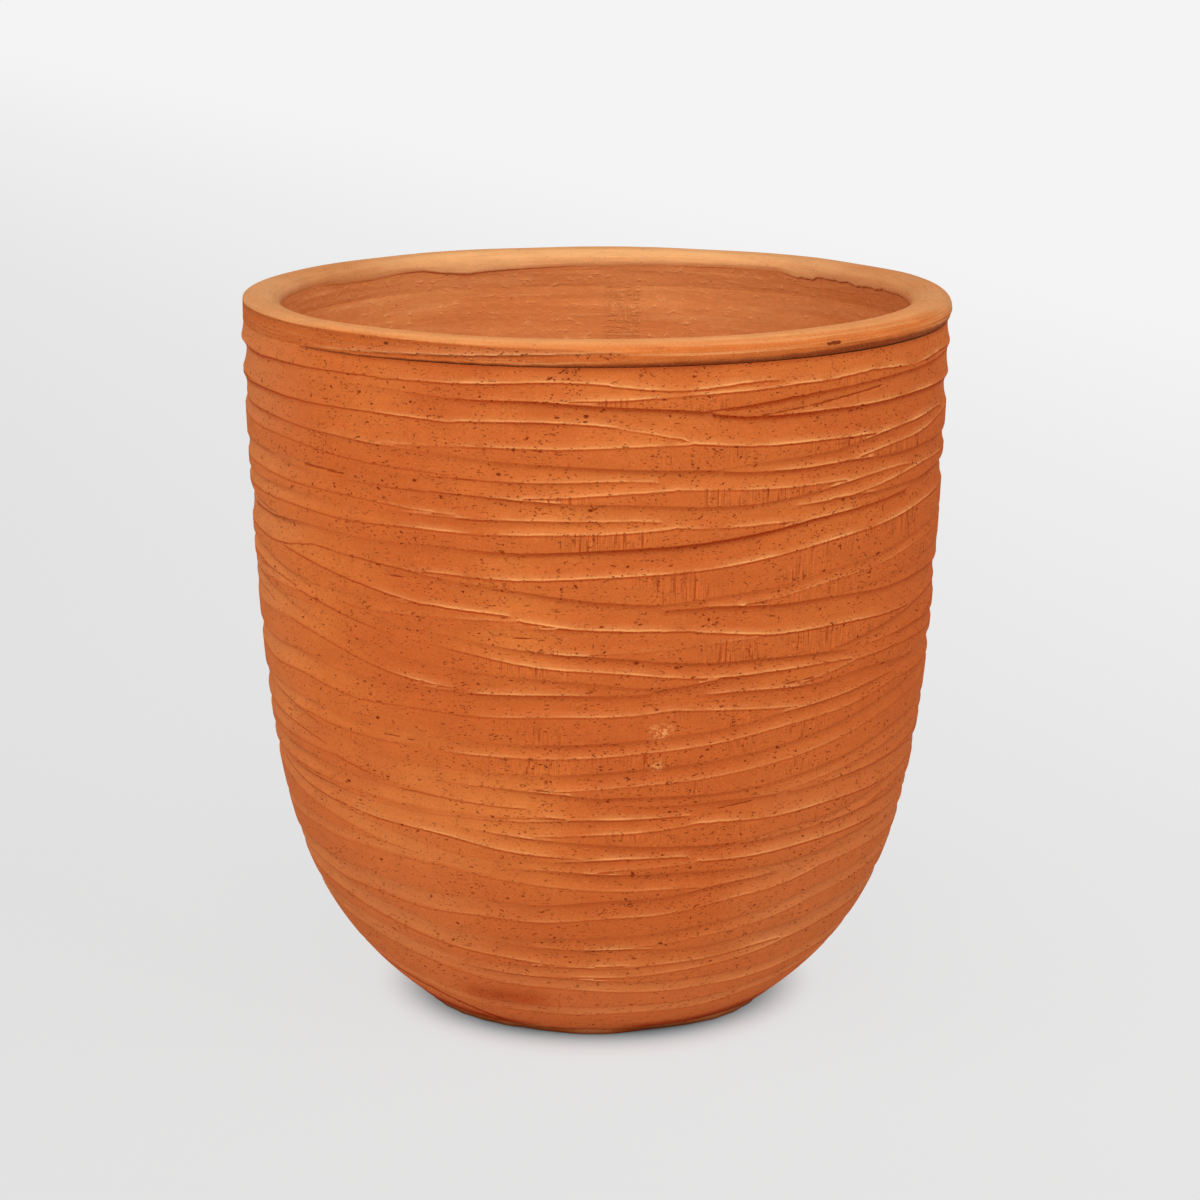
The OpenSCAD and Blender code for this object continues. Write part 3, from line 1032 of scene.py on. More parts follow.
@dataclass(frozen=True)
class WipedClay:
    """Inside of the pot: clay smeared with a wet hand, with smear lines, crumbs and a few pits."""

    name: str = "wiped_clay"
    body: Colour = (0.804, 0.302, 0.097)
    damp: Colour = (0.714, 0.232, 0.067)
    pale: Colour = (0.864, 0.376, 0.141)
    # Painted shade colour for the right side of the inside
    shade_brown: Colour = (0.464, 0.115, 0.028)
    pit: Colour = (0.380, 0.080, 0.014)

    def material(self) -> bpy.types.Material:
        """The finish, which reads the mark of the cloth print, with painted shade on the right inside.

        Returns:
            The material.
        """
        n = ClayNodes(self.name)
        weave = n.noise(1.1, up=9.0, detail=2.0).highest(n.noise(1.3, around=9.0, detail=2.0))
        cloth = n.mark("shade") * weave.curve(0.45, 0.62)
        smear = n.noise(4.0, around=16.0, detail=4.0)
        patch = n.noise(45.0, around=1.8)
        grain = n.noise(0.9, around=1.2)
        lumps = n.noise(3.0, around=1.6)
        crumbs = lumps.curve(0.58, 0.74)
        pitted = n.noise(2.4, around=1.5, detail=2.0).curve(0.72, 0.78)
        colour = n.coated(
            n.blend(patch.curve(0.35, 0.65), self.damp, self.body),
            (smear.curve(0.50, 0.70) * 0.4, self.pale),
            (crumbs * 0.5, self.pale),
            (cloth * 0.6, self.damp),
            # Painted shade: browner and darker towards the right inside
            (n.side().curve(0.0, 0.17) * 0.5, self.shade_brown),
        )
        colour = n.scaled(colour, 0.80 + 0.22 * lumps + 0.18 * grain)
        colour = n.blend(pitted * 0.5, colour, self.pit)
        height = smear * 0.5 + lumps * 0.35 + crumbs * 0.25 + grain * 0.15 - pitted * 0.3 - cloth * 0.3
        return n.clay(colour, 0.76 + 0.14 * grain, height, 1.1)


@dataclass(frozen=True)
class RubbedClay:
    """Rim: clay smoothed by the rub of a wet hand, with wiped lines, and scraped on part of its side.

    It carries painted light at the front and back, and painted highlights and shade along its edges.
    """

    name: str = "rubbed_clay"
    body: Colour = (0.634, 0.252, 0.087)
    pale: Colour = (0.684, 0.307, 0.123)
    # Colour of dry streaks and grain, and of the painted light on the rim's back
    dusty: Colour = (0.854, 0.426, 0.172)
    front: Colour = (0.744, 0.292, 0.095)
    side: Colour = (0.644, 0.172, 0.037)
    scraped: Colour = (0.504, 0.110, 0.021)
    low: Colour = (0.464, 0.100, 0.018)
    inner: Colour = (0.684, 0.247, 0.077)
    deep: Colour = (0.130, 0.012, 0.002)
    pit: Colour = (0.170, 0.018, 0.003)

    def material(self) -> bpy.types.Material:
        """The finish, which reads the marks of the rim's sides and of its scraped part, and its painted
        light and shade.

        Returns:
            The material.
        """
        n = ClayNodes(self.name)
        side, scraped = n.mark("side"), n.mark("scraped")
        over, under, _ = n.crease()
        wiped = n.rolled(1.6, along=45.0)
        lines = n.rolled(0.7, along=30.0, detail=2.0)
        patch = n.noise(40.0, around=1.8)
        smudge = n.noise(5.0, around=3.0, detail=4.0)
        grain = n.noise(0.7, around=1.5, detail=2.0)
        bite = (n.mark("chip") * 0.8 + n.noise(1.3, around=1.3, detail=4.0)).curve(0.98, 1.16)
        pores = (n.pores() * (0.25 + 0.75 * scraped)).highest(bite)
        dry = (1.0 - wiped).curve(0.50, 0.68) * (0.15 + 0.2 * side) * (1.0 - 0.7 * scraped)
        colour = n.coated(
            n.blend(patch.curve(0.35, 0.65), self.body, self.pale),
            # Painted light: paler at the back of the rim
            (n.mark("painted_back_light"), self.dusty),
            # Painted light: lighter and more orange towards the front
            (n.mark("front") * 0.8, self.front),
            (side, self.side),
            (scraped, self.scraped),
            (n.mark("low") * 0.6, self.low),
            (n.mark("inner"), self.inner),
            (wiped.curve(0.48, 0.66) * (0.18 + 0.22 * side), self.scraped),
            (dry, self.dusty),
            # Painted shade under the rim and under the scraped band's top, and a painted shade line under the
            # ridge
            (n.mark("shade") * 0.75, self.deep),
            (under * 0.5, self.deep),
            # Painted highlight along the scraped ridge
            (over * 0.8, self.pale),
        )
        colour = n.coated(
            n.scaled(colour, 0.55 + 0.20 * wiped + 0.26 * lines + 0.24 * smudge + 0.20 * grain),
            (grain.curve(0.50, 0.85) * 0.25, self.dusty),
            (pores * 0.85, self.pit),
        )
        height = wiped * 0.5 + lines * 0.25 + grain * 0.15 - pores
        return n.clay(colour, 0.70 + 0.14 * grain, height, 0.6)


@dataclass(frozen=True)
class BoardClay:
    """Floor slab: clay rolled out on a sanded board, with grit printed into it."""

    name: str = "board_clay"
    body: Colour = (0.583, 0.157, 0.037)
    dusty: Colour = (0.683, 0.257, 0.087)
    pit: Colour = (0.140, 0.020, 0.004)

    def material(self) -> bpy.types.Material:
        """The finish, which reads the mark of the shaded lip.

        Returns:
            The material.
        """
        n = ClayNodes(self.name)
        sand = n.noise(1.2)
        patch = n.noise(30.0)
        grit = sand.curve(0.62, 0.72)
        colour = n.blend(patch.curve(0.4, 0.65), self.body, self.dusty)
        # The lip's shade mark is painted shade, in the grit's dark colour
        colour = n.blend((grit * 0.6).highest(n.mark("shade") * 0.85), colour, self.pit)
        return n.clay(colour, 0.78 + 0.1 * sand, sand * 0.4 - grit * 0.6, 0.7)


class Finish(Enum):
    """The finishes of the pot's clay."""

    SCRAPED = ScrapedClay()
    WIPED = WipedClay()
    RUBBED = RubbedClay()
    BOARD = BoardClay()

    def material(self) -> bpy.types.Material:
        """The finish's material, made the first time that it is asked for."""
        return bpy.data.materials.get(self.value.name) or self.value.material()


def finished(
    piece: bpy.types.Object,
    node: str,
    finishes: tuple[Finish, ...],
    each: Union[Array, None] = None,
) -> bpy.types.Object:
    """Gives a piece its finishes, ties it to the CAD node that it stands for, and reports it.

    Args:
        piece: the piece.
        node: the CAD node that it replaces.
        finishes: its finishes.
        each: place of each face's finish among them, if there is more than one.

    Returns:
        The same piece.
    """
    for finish in finishes:
        piece.data.materials.append(finish.material())
    if each is not None:
        piece.data.polygons.foreach_set("material_index", each)
    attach(piece, BODY)
    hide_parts(node)
    LOG.info("%s: %d faces", piece.name, len(piece.data.polygons))
    return piece


@dataclass
class WallSlab:
    """One quarter of the wall: carved outside, smeared inside, with flat ends at its seams.

    Lifts are the lines where the hand lifted off inside: how far each is below the top, the seed
    of its sway, and its depth.
    """

    node: str
    start: float
    shape: PotShape
    carving: Carving
    turn: float = 90.0
    columns: int = 144
    rows: int = 575
    inner_rows: int = 95
    crowd: float = 1.6
    foot_round: float = 2.5
    foot_plain: float = 6.0
    smear: float = 0.35
    lifts: tuple[tuple[float, int, float], ...] = (
        (19.0, 62, 0.4),
        (30.0, 63, 0.25),
        (58.0, 64, 0.5),
        (84.0, 65, 0.4),
    )
    lift_sway: float = 1.6
    cloth: Stretch = Stretch(170.5, 179.0, 1.5)
    cloth_down: Limits = (-58.0, -46.0)

    def outside(self, angle: Array) -> tuple[Array, Array, Relief]:
        """The carved face: the plain wall, moved square to itself by the relief, rounded at its foot.

        Args:
            angle: angles, one per column.

        Returns:
            Radii, heights and the relief, one outline per angle.
        """
        height = np.linspace(self.shape.foot, self.shape.wall_top, self.rows + 1)
        relief = self.carving.relief(angle, height)
        low = np.clip(1.0 - (height - self.shape.foot) / self.foot_round, 0.0, 1.0)
        rounded = self.foot_round * (1.0 - np.sqrt(1.0 - low**2))
        fade = s_curve(0.0, self.foot_plain, height - self.shape.foot)
        slope = self.shape.slope(height)
        reach = (relief.height * fade - rounded) / np.hypot(1.0, slope)
        radius = self.shape.outer(height) + reach
        return radius, np.maximum(height - slope * reach * fade, self.shape.foot), relief

    def inside(self, angle: Array) -> tuple[Array, Array, Array]:
        """The smeared face, from the top down, with rows that crowd near the rim.

        The plain radius gets a slow unevenness and a step, tanh, at each line where the hand lifted
        off. At the seam behind there is an upright patch of cloth print.

        Args:
            angle: angles, one per column.

        Returns:
            Radii, heights and where the cloth is printed, one outline per angle.
        """
        top, floor = self.shape.wall_top, self.shape.floor
        height = top - (top - floor) * np.linspace(0.0, 1.0, self.inner_rows + 1) ** self.crowd
        around, level = angle[:, None], height[None, :]
        moved = self.smear * Waves(61, 3, 9, 90.0).at(around, level)
        for drop, seed, depth in self.lifts:
            off = level - (top - drop + self.lift_sway * Waves(seed, 2, 9).at(around))
            share = 0.5 + 0.5 * np.clip(Waves(seed + 10, 2, 8).at(around), -1.0, 1.0)
            moved = moved + depth * share * np.tanh(off / 0.8) * bell(off / 9.0)
        press = s_curve(0.0, 3.0, level - floor) * s_curve(6.0, 16.0, top - level)
        radius = self.shape.inner(level) + press * moved
        cloth = self.cloth.at(around) * s_curve(*self.cloth_down, level - top)
        return radius, np.broadcast_to(level, radius.shape), cloth

    def build(self) -> bpy.types.Object:
        """The slab as a closed mesh: up the carved face, down the smeared one and under the foot.

        Returns:
            The piece, with the carved face in the first finish and the rest in the second.
        """
        angle = self.start + self.turn * np.linspace(0.0, 1.0, self.columns + 1)
        radius, height, relief = self.outside(angle)
        back_radius, back_height, cloth = self.inside(angle)
        foot = np.full((len(angle), 1), self.shape.foot)
        under = np.full((len(angle), 1), float(self.shape.inner(self.shape.floor)))
        plain = np.zeros((len(angle), self.inner_rows + 2))
        printed = np.hstack([cloth, plain[:, :1]])
        names = [mark.name for mark in fields(Relief) if mark.name != "height"]
        backs = {name: printed if name == "shade" else plain for name in names}
        sheet = Sheet(
            angle=angle,
            radius=np.hstack([radius, back_radius, under]),
            height=np.hstack([height, back_height, foot]),
            closed=False,
            marks={name: np.hstack([getattr(relief, name), back]) for name, back in backs.items()},
        )
        piece = sheet.piece("carved_" + self.node, 60.0)
        outline = sheet.radius.shape[1]
        finish = np.ones(len(piece.data.polygons), dtype=np.int32)
        finish[: self.columns * outline] = np.tile(np.arange(outline) >= self.rows, self.columns)
        return finished(piece, self.node, (Finish.SCRAPED, Finish.WIPED), finish)


# Where the scraper ran over the rim's side: height of the line between its two bands, and their depths
SCRAPE_AT = (-145, -115, -60, -48, -40, -30, -20, -10, -2, 6, 12)
SCRAPE_LINE = (372, 366, 366, 373.4, 374.3, 375.4, 376.5, 378.2, 379.2, 380, 380.5)
SCRAPE_UPPER = (0, 2.4, 2.5, 2.4, 2.2, 2.0, 1.8, 1.5, 1.2, 0.6, 0)
SCRAPE_LOWER = (0, 0, 0, 0, 0.9, 1.6, 1.8, 1.5, 0.9, 0.3, 0)
# How far the rim's lower outer edge rises above the wall's top, read round the rim
BEAD_AT = (-180, -120, -60, -40, -25, -11, 0, 14, 28, 36, 44, 53, 64, 76, 110, 150, 180)
BEAD_RISE = (1.0, 0.6, 0, 0.4, 0.8, 0.5, 1.2, 2.0, 2.2, 2.7, 3.5, 3.3, 3.0, 2.6, 1.8, 0.8, 1.0)
# How far the rim's inner edge hangs below its usual height, read round the rim from the front
HANG_AT = (0, 97, 111, 119, 126, 130, 134, 137, 142, 186, 195, 203, 206, 211, 216, 221, 229, 237, 245, 360)
HANG = (0, 0.2, 0.9, 2.0, 1.3, 1.1, 2.2, 2.6, 0, 1.5, 2.4, 3.2, 3.9, 2.7, 0.7, 0.7, 2.0, 1.7, 0, 0)
# Chips in the rim's side, by their height over the wall's top
CHIPS = (Patch(Stretch(36.6, 40.4, 0.8), 6.3, 1.4), Patch(Stretch(-34.0, -32.4, 0.6), 7.5, 0.9))


@dataclass
class RimSkin:
    """The rim coil's skin while it is worked: a row of section points for every angle.

    The plain section's points are flat_r and flat_z, and out_r says how far the face there looks
    outward. Over_wall and over_lip are heights over the wall's top and over the lip inside. Outer
    and inside say how far a point is on the coil's outer or inner side. Radius and height are where
    it has been moved.
    """

    around: Array
    flat_r: Array
    flat_z: Array
    out_r: Array
    over_wall: Array
    over_lip: Array
    outer: Array
    inside: Array
    radius: Array
    height: Array


@dataclass
class RimCoil:
    """The rolled coil on top of the wall, its waving underside and its lap down the inside."""

    shape: PotShape
    rim_in: float = 3.5
    edge: float = 7.5
    under: float = 3.0
    lap: float = 9.0
    lap_set: float = 1.4
    inner_edge: float = 6.0
    inner_wide: float = 13.0
    lip_up: float = 5.0
    allowance: float = 0.2
    spare: float = 0.3
    columns: int = 720
    rows: int = 130
    roll: float = 0.15
    wipe: float = 0.1
    chip_deep: float = 0.7
    smear: float = 0.7
    smeared: Stretch = Stretch(-150.0, -18.0, 25.0)
    dent: float = 0.5
    dented: Stretch = Stretch(110.0, 138.0, 12.0)
    flap: Stretch = Stretch(190.0, 226.0, 9.0)
    torn: Stretch = Stretch(97.0, 139.0, 4.0)

    def section(self) -> Array:
        """The coil's plain section: underside, outer edge, top, inner edge and lap, anticlockwise.

        Returns:
            Its points at even distances, as radius and height.
        """
        s = self.shape
        inner = float(s.inner(s.wall_top)) - self.rim_in
        low = s.wall_top - self.lap
        against = float(s.inner(low)) + self.allowance
        corners = [
            arc((s.rim_radius - self.under, s.wall_top + self.under), self.under, -90, 0),
            arc((s.rim_radius - self.edge, s.top - self.edge), self.edge, 0, 90),
            arc((0.0, 0.0), 1.0, 90, 180) * [self.inner_wide, self.inner_edge]
            + [inner + self.inner_wide, s.top - self.inner_edge],
            arc((inner + self.lap_set, s.wall_top + self.lip_up + self.lap_set), self.lap_set, 180, 270),
            np.array([[against, low], [against + self.allowance, low]]),
            np.array([[float(s.inner(s.wall_top)) - self.allowance, s.wall_top]]),
        ]
        return evened(np.vstack(corners), self.rows)

    def skin(self, angle: Array, section: Array) -> RimSkin:
        """The section carried round and moved square to itself by the hand's unevenness.

        Args:
            angle: angles, one per column.
            section: points of the plain section.

        Returns:
            The skin, to be worked further.
        """
        s = self.shape
        around = angle[:, None]
        flat_r, flat_z = section[None, :, 0], section[None, :, 1]
        out_r, out_z = outward(section).T[:, None, :]
        over_wall = flat_z - s.wall_top
        rough = self.roll * Waves(71, 3, 13, 60.0).at(around, flat_z + flat_r)
        rough = rough + self.wipe * s_curve(0.5, 0.9, out_r) * Waves(72, 1, 4, 4.0).at(around, flat_z)
        rough = rough * s_curve(-0.5, 1.5, over_wall)
        return RimSkin(
            around=around,
            flat_r=flat_r,
            flat_z=flat_z,
            out_r=out_r,
            over_wall=over_wall,
            over_lip=over_wall - self.lip_up,
            outer=s_curve(s.rim_radius - 6.0, s.rim_radius - 3.0, flat_r),
            inside=s_curve(s.rim_radius - 14.0, s.rim_radius - 18.0, flat_r),
            radius=flat_r + out_r * rough,
            height=flat_z + out_z * rough,
        )

    def scraped(self, angle: Array, height: Array) -> Array:
        """How deep the scraper cut into the coil's side, where it ran up over it on the left.

        A broad band takes the side off as t * (2 - t) above a line that climbs to the right, and a
        second one lies under that line. Both run out a little to the right of the front.

        Args:
            angle: angles, one per column.
            height: heights, one per row.

        Returns:
            The depth, for every angle and height.
        """
        line = np.interp(angle, SCRAPE_AT, SCRAPE_LINE)
        upper = np.interp(angle, SCRAPE_AT, SCRAPE_UPPER)
        lower = np.interp(angle, SCRAPE_AT, SCRAPE_LOWER)
        t = np.clip((height - line) / 2.5, 0.0, 1.0)
        u = np.clip((height - self.shape.wall_top) / np.maximum(line - self.shape.wall_top, 0.5), 0.0, 1.0)
        under = (height < line) * lower * u * (2.0 - u)
        return np.maximum(upper * t * (2.0 - t), under)

    def work_side(self, skin: RimSkin) -> tuple[Array, Array, Array]:
        """Smears the lower edge on the left, scrapes the side there, lifts the bead and chips it.

        Args:
            skin: the skin, whose radius and height are changed.

        Returns:
            Where it was scraped, how far the bead was lifted, and the chips.
        """
        s = self.shape
        below = self.smeared.at(skin.around) * skin.outer * (skin.flat_z < s.wall_top + self.under)
        radius = skin.radius + self.smear * below * (s.rim_radius - skin.flat_r)
        cut = self.scraped(skin.around, skin.flat_z)
        limit = s.rim_radius + self.spare - cut
        was_cut = skin.outer * s_curve(0.0, 0.25, radius - limit) * (cut > 0.05)
        radius = np.where(skin.outer > 0.0, np.minimum(radius, limit), radius)
        chip = sum(one.at(skin.around, skin.over_wall) for one in CHIPS) * skin.outer
        skin.radius = radius - self.chip_deep * chip
        raised = np.interp(skin.around, BEAD_AT, BEAD_RISE) + 0.1 * Waves(74, 40, 110).at(skin.around)
        bead = skin.outer * (1.0 - s_curve(2.0, 6.0, skin.over_wall)) * s_curve(-0.5, 1.5, skin.over_wall)
        skin.height = skin.height + bead * np.clip(raised, 0.0, None)
        return was_cut, raised, chip

    def work_lip(self, skin: RimSkin) -> tuple[Array, Array]:
        """Hangs the lip inside lower by its reading, and smooths it into the wall.

        It stays proud at a flap on the left behind and at a tear on the right behind.

        Args:
            skin: the skin, whose radius and height are changed.

        Returns:
            Where the lip was smoothed, and heights over its hanging edge.
        """
        s = self.shape
        torn = self.torn.at(skin.around)
        lip = (1.0 - s_curve(1.5, 5.0, skin.over_lip)) * s_curve(-0.6, 0.0, skin.over_lip)
        ragged = 0.2 * Waves(75, 40, 90).at(skin.around) + 0.12 * Waves(76, 120, 200).at(skin.around)
        hang = np.interp(skin.around % 360.0, HANG_AT, HANG) + (0.15 + torn) * ragged
        hang = skin.inside * lip * hang
        dent = self.dent * self.dented.at(skin.around) * s_curve(6.0, 12.0, skin.over_wall)
        skin.height = np.minimum(skin.height - dent - hang, s.top)
        eased = 1.0 - np.maximum(self.flap.at(skin.around), torn)
        ends = (s.wall_top - self.lap, s.wall_top + self.lip_up + self.lap_set)
        against = float(s.inner(ends[0])) + self.allowance
        straight = np.interp(skin.flat_z, ends, (against, skin.flat_r.min()))
        pressed = np.clip(skin.flat_r - straight, 0.0, None)
        pressed = pressed * (skin.over_lip < self.lap_set) * (skin.out_r < 0.0)
        skin.radius = skin.radius - skin.inside * (0.4 + 0.6 * eased) * pressed
        return eased, skin.over_lip + hang

    def side_marks(self, skin: RimSkin, was_cut: Array, raised: Array) -> dict[str, Array]:
        """Marks of the coil's outer side, painted light and shade among them.

        Args:
            skin: the worked skin.
            was_cut: where it was scraped.
            raised: how far its bead was lifted.

        Returns:
            The marks, by name.
        """
        s = self.shape
        front = Stretch(-60.0, 80.0, 20.0).at(skin.around)
        side = s_curve(0.40, 0.97, skin.out_r) * front + (1.0 - s_curve(3.0, 10.5, skin.over_wall))
        upper = np.interp(skin.around, SCRAPE_AT, SCRAPE_UPPER)
        kept = np.minimum(self.edge + self.spare - upper, self.edge)
        top_edge = s.top - self.edge + np.sqrt(self.edge**2 - kept**2)
        below = (1.0 - s_curve(0.0, 4.0, top_edge - skin.height)) * (skin.height < top_edge)
        over_wall = skin.height - s.wall_top
        under = (1.0 - s_curve(0.0, 1.1, over_wall - raised)) * (1.0 - was_cut)
        near = skin.height - np.interp(skin.around, SCRAPE_AT, SCRAPE_LINE)
        ridged = skin.outer * np.interp(skin.around, SCRAPE_AT, SCRAPE_LOWER) / max(SCRAPE_LOWER)
        return {
            "side": skin.outer * np.clip(side, 0.0, 1.0),
            "scraped": was_cut,
            "low": skin.outer * (1.0 - s_curve(4.5, 8.5, over_wall)) * (1.0 - was_cut),
            "shade": skin.outer * np.maximum(under, 0.3 * below * upper / max(SCRAPE_UPPER)),
            # Painted light towards the front
            "front": Stretch(-75.0, 85.0, 30.0).at(skin.around),
            "near": near,
            "clear": np.abs(near),
            # Painted highlight and painted shade line along the scraped ridge
            "bright": ridged,
            "line": 0.6 * ridged,
        }

    def top_marks(self, skin: RimSkin, eased: Array, over_edge: Array) -> dict[str, Array]:
        """Marks of the coil's top and inner side, with painted light on its back.

        Args:
            skin: the worked skin.
            eased: where the lip was smoothed into the wall.
            over_edge: heights over the lip's hanging edge.

        Returns:
            The marks, by name.
        """
        inner = 1.0 - s_curve(0.3 - 3.0 * eased, 2.8 + 3.0 * eased, over_edge)
        # Painted light: the back of the rim is made paler
        painted_back_light = Stretch(125.0, 240.0, 35.0).at(skin.around) * s_curve(1.0, 3.5, over_edge)
        painted_back_light = painted_back_light * (1.0 - 0.45 * s_curve(7.0, 8.0, skin.over_lip))
        return {"inner": skin.inside * inner, "painted_back_light": painted_back_light * (1.0 - skin.outer)}

    def build(self) -> bpy.types.Object:
        """The coil: its section carried round, and worked outside and inside.

        Returns:
            The piece, with the lap in the second finish.
        """
        s = self.shape
        angle = np.arange(self.columns) * 360.0 / self.columns - 180.0
        section = self.section()
        skin = self.skin(angle, section)
        was_cut, raised, chip = self.work_side(skin)
        eased, over_edge = self.work_lip(skin)
        marks = self.side_marks(skin, was_cut, raised) | self.top_marks(skin, eased, over_edge)
        marks["chip"] = chip
        marks["across"] = np.arange(self.rows)[None, :] * np.hypot(*(section[1] - section[0])) * MM
        piece = Sheet(angle, skin.radius, skin.height, True, marks).piece("rolled_rim_coil", 55.0)
        lap = (section[:, 0] < s.rim_radius - 10.0) & (section[:, 1] < s.wall_top + self.lip_up + 0.4)
        finish = np.tile(lap.astype(np.int32), self.columns)
        return finished(piece, "rim_coil", (Finish.RUBBED, Finish.WIPED), finish)


@dataclass
class FloorSlab:
    """The disc that the pot stands on, with its trimmed lip and the drain hole."""

    shape: PotShape
    lip_set: float = 3.0
    lip_round: float = 1.2
    lip_sway: float = 0.7
    lip_shake: float = 0.15
    drain: float = 13.0
    drain_round: float = 1.0
    plug_gap: float = 0.2
    columns: int = 360
    rows: int = 120

    def build(self) -> bpy.types.Object:
        """The slab: its section carried round, with an uneven lip and a softened hole.

        Returns:
            The piece.
        """
        s = self.shape
        lip = s.foot_radius - self.lip_set
        plug = float(s.inner(s.floor)) - self.plug_gap
        soft = self.drain_round
        corners = [
            arc((self.drain + soft, soft), soft, 180, 270),
            arc((lip - self.lip_round, self.lip_round), self.lip_round, -90, 0),
            arc((lip - self.lip_round, s.foot - self.lip_round), self.lip_round, 0, 90),
            np.array([[plug, s.foot], [plug, s.floor]]),
            arc((self.drain + soft, s.floor - soft), soft, 90, 180),
        ]
        section = evened(np.vstack(corners), self.rows)
        angle = np.arange(self.columns) * 360.0 / self.columns
        around, flat, level = angle[:, None], section[None, :, 0], section[None, :, 1]
        edge = s_curve(plug + 2.0, lip - 1.0, flat)
        sway = self.lip_sway * Waves(81, 3, 12).at(around)
        sway = sway + self.lip_shake * Waves(82, 14, 40).at(around, level)
        top = s_curve(s.floor - 3.0, s.floor, level) * 0.25 * Waves(83, 2, 9, 40.0).at(around, flat)
        hole = bell((flat - self.drain) / 1.5) * 0.3 * Waves(84, 3, 14, 9.0).at(around, level)
        radius = flat + edge * sway + outward(section)[None, :, 0] * hole
        height = level + np.minimum(top, 0.0)
        shade = edge * (1.0 - s_curve(0.2, 3.0, height))
        piece = Sheet(angle, radius, height, True, {"shade": shade}).piece("rolled_floor_slab", 50.0)
        return finished(piece, "floor_slab", (Finish.BOARD,))


@dataclass
class CornerCoil:
    """The coil pressed with a thumb into the corner between floor and wall."""

    shape: PotShape
    wide: float = 14.0
    tall: float = 10.0
    thin: float = 1.0
    gap: float = 0.3
    prints: int = 26
    print_deep: float = 0.45
    columns: int = 312
    rows: int = 60

    def build(self) -> bpy.types.Object:
        """The coil: a section with a hollow curve of three points, carried round, and thumb prints.

        Returns:
            The piece.
        """
        s = self.shape
        top = s.floor + self.tall
        low = np.array([float(s.inner(s.floor)) - self.gap, s.floor])
        high = np.array([float(s.inner(top)) - self.gap, top])
        t = np.linspace(0.0, 1.0, 25)[:, None]
        start = high - [self.thin, 0.0]
        middle = low + [0.0, self.thin]
        end = low + [-self.wide, self.thin]
        face = (1.0 - t) ** 2 * start + 2.0 * t * (1.0 - t) * middle + t**2 * end
        section = evened(np.vstack([low - [self.wide, 0.0], low, high, face]), self.rows)
        out = outward(section)
        angle = np.arange(self.columns) * 360.0 / self.columns
        around = angle[:, None]
        shown = s_curve(0.1, 0.5, out[:, 1] - out[:, 0])[None, :] * s_curve(0.2, 1.0, section[:, 1] - s.floor)
        wave = np.cos(np.radians(around) * self.prints + 0.8 * Waves(91, 3, 9).at(around))
        press = shown * (self.print_deep * wave + 0.2 * Waves(92, 20, 60).at(around))
        radius = section[None, :, 0] + out[None, :, 0] * press
        height = np.maximum(section[None, :, 1] + out[None, :, 1] * press, s.floor)
        piece = Sheet(angle, radius, height, True).piece("pressed_corner_coil", 60.0)
        return finished(piece, "corner_coil", (Finish.WIPED,))


@dataclass(frozen=True)
class Lamp:
    """A soft square lamp: its name, its place and width in metres, and its power."""

    name: str
    at: tuple[float, float, float]
    size: float
    watts: float


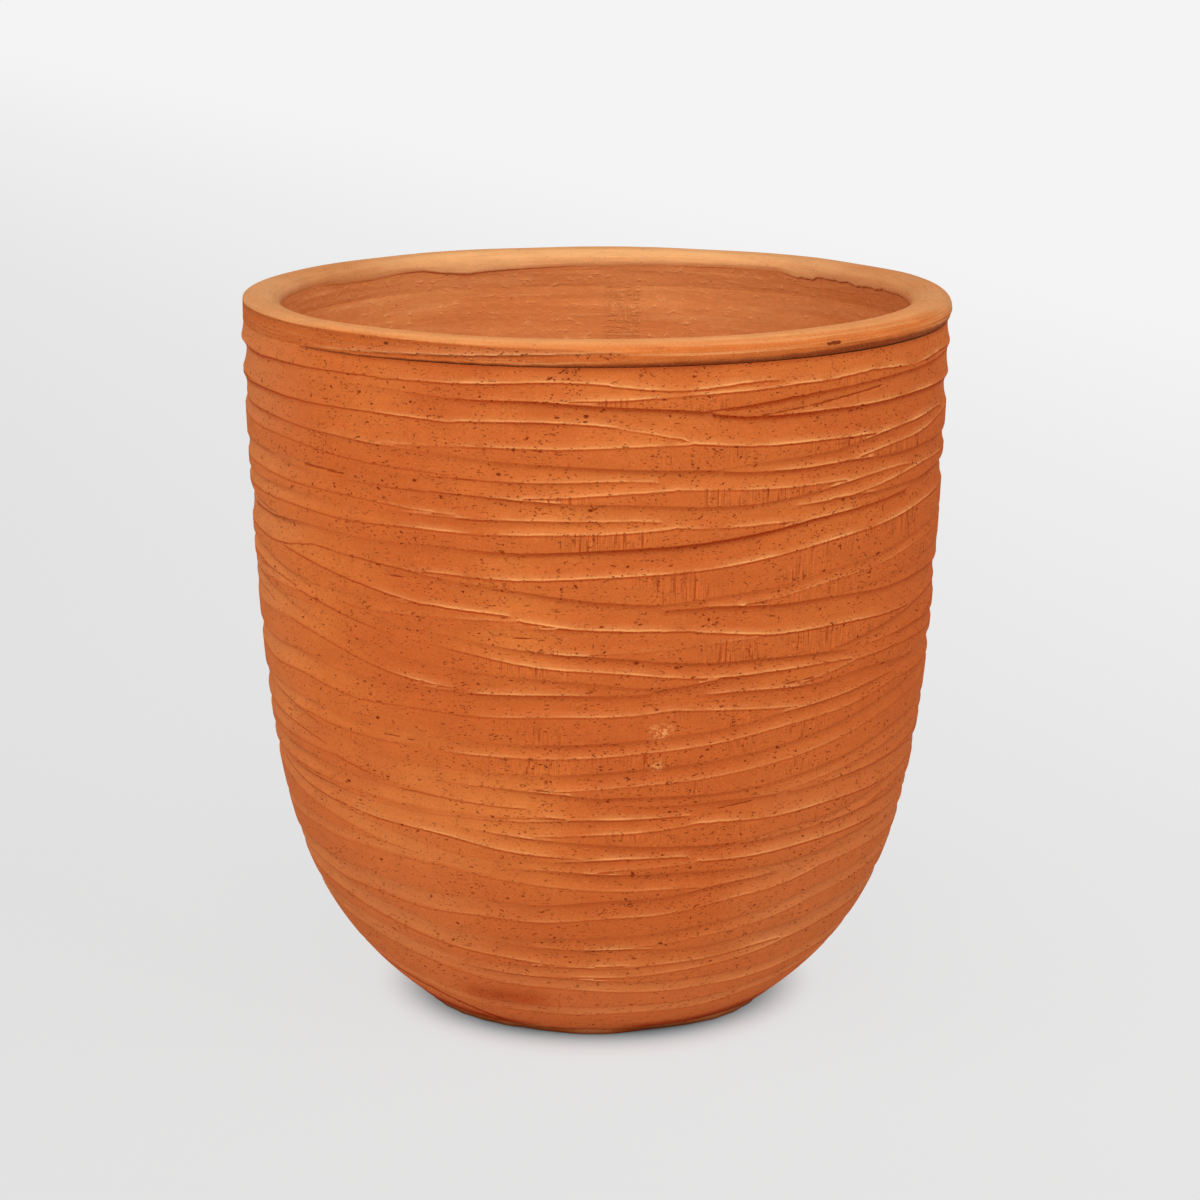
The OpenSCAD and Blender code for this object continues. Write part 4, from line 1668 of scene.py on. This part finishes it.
@dataclass
class Studio:
    """A pale floor, soft light and the camera at the photograph's angle."""

    shape: PotShape
    floor_half: float = 60.0
    floor_colour: Colour = (0.88, 0.88, 0.88)
    floor_shaded: Colour = (0.47, 0.75, 0.84)
    floor_near: Colour = (0.75, 0.75, 0.75)
    floor_far: Colour = (0.95, 0.95, 0.95)
    floor_glow: float = 0.92
    near: float = -1.2
    far: float = 5.0
    shade_in: float = 0.008
    shade_out: float = 0.043
    shade_narrow: float = 1.13
    room_light: float = 0.42
    lamps: tuple[Lamp, ...] = (
        Lamp("key", (-0.2, -2.2, 2.0), 1.4, 25.0),
        Lamp("left", (-1.85, -1.0, 1.84), 2.0, 26.0),
        Lamp("right", (1.85, -1.0, 1.84), 2.0, 24.0),
    )
    camera_at: tuple[float, float, float] = (0.0023, -1.9037, 0.6438)
    camera_down: float = 12.70
    lens_pixels: float = 3584.4
    frame_pixels: float = 1200.0
    film: float = 36.0

    def floor_paint(self) -> bpy.types.Material:
        """Real shade close to the foot, which gives way to a plain pale tone further off.

        Returns:
            The material.
        """
        n = ClayNodes("pale_floor")
        place = n.node("ShaderNodeTexCoord", {}, {}, "Object")
        narrow = n.vector("MULTIPLY", {0: place, 1: (self.shade_narrow, 1.0, 1.0)})
        away = n.vector("LENGTH", {0: narrow}, "Value")
        seen = n.node("ShaderNodeLightPath", {}, {}, "Is Camera Ray")
        foot = self.shape.foot_radius * MM
        off = away.curve(foot - self.shade_in, foot + self.shade_out)
        tint = n.blend(seen * (1.0 - off), self.floor_colour, self.floor_shaded)
        paint = n.node("ShaderNodeBsdfDiffuse", {}, {"Color": tint})
        right = n.node("ShaderNodeSeparateXYZ", {}, {"Vector": place})
        back = (right.other("Y") + right * 2.0).curve(self.near, self.far)
        glow = n.node("ShaderNodeEmission", {}, {"Color": n.blend(back, self.floor_near, self.floor_far)})
        surface = n.node("ShaderNodeMixShader", {}, {0: seen * off * self.floor_glow, 1: paint, 2: glow})
        n.node("ShaderNodeOutputMaterial", {}, {"Surface": surface})
        return n.material

    def floor(self) -> bpy.types.Object:
        """One large square on the ground.

        Returns:
            The floor.
        """
        half = self.floor_half
        corners = [(-half, -half, 0), (half, -half, 0), (half, half, 0), (-half, half, 0)]
        mesh = bpy.data.meshes.new("floor")
        mesh.from_pydata(corners, [], [(0, 1, 2, 3)])
        mesh.materials.append(self.floor_paint())
        made = bpy.data.objects.new("floor", mesh)
        bpy.context.scene.collection.objects.link(made)
        return made

    def hang(self, lamp: Lamp) -> bpy.types.Object:
        """Hangs a lamp that points at the middle of the pot.

        Args:
            lamp: the lamp.

        Returns:
            The lamp's object.
        """
        data = bpy.data.lights.new(lamp.name, "AREA")
        data.size = lamp.size
        data.energy = lamp.watts
        made = bpy.data.objects.new(lamp.name, data)
        made.location = lamp.at
        aim = Vector((0.0, 0.0, self.shape.top * MM / 2.0)) - Vector(lamp.at)
        made.rotation_euler = aim.to_track_quat("-Z", "Y").to_euler()
        bpy.context.scene.collection.objects.link(made)
        return made

    def camera(self) -> bpy.types.Object:
        """The camera, whose lens gives lens_pixels over a frame of frame_pixels.

        Returns:
            The camera, made the scene's own.
        """
        data = bpy.data.cameras.new("camera")
        data.sensor_fit = "HORIZONTAL"
        data.sensor_width = self.film
        data.lens = self.lens_pixels / self.frame_pixels * self.film
        made = bpy.data.objects.new("camera", data)
        made.location = self.camera_at
        made.rotation_euler = (radians(90.0 - self.camera_down), 0.0, 0.0)
        bpy.context.scene.collection.objects.link(made)
        bpy.context.scene.camera = made
        return made

    def build(self) -> None:
        """Sets up the floor, the lamps, the even light of the room and the camera."""
        self.floor()
        for lamp in self.lamps:
            self.hang(lamp)
        world = bpy.data.worlds.new("room")
        world.use_nodes = True
        light = world.node_tree.nodes["Background"]
        light.inputs["Color"].default_value = (1.0, 1.0, 1.0, 1.0)
        light.inputs["Strength"].default_value = self.room_light
        bpy.context.scene.world = world
        bpy.context.scene.view_settings.view_transform = "Standard"
        self.camera()


# Angle at which each wall slab starts
SLABS = {
    "wall_slab_front_right": -5.0,
    "wall_slab_back_right": 85.0,
    "wall_slab_back_left": -185.0,
    "wall_slab_front_left": -95.0,
}


def main() -> None:
    logging.basicConfig(level=logging.INFO, format="%(name)s: %(message)s")
    shape = PotShape.from_frame()
    carving = Carving(shape)
    FloorSlab(shape).build()
    CornerCoil(shape).build()
    for node, start in SLABS.items():
        WallSlab(node, start, shape, carving).build()
    RimCoil(shape).build()
    Studio(shape).build()


if __name__ == "__main__":
    main()
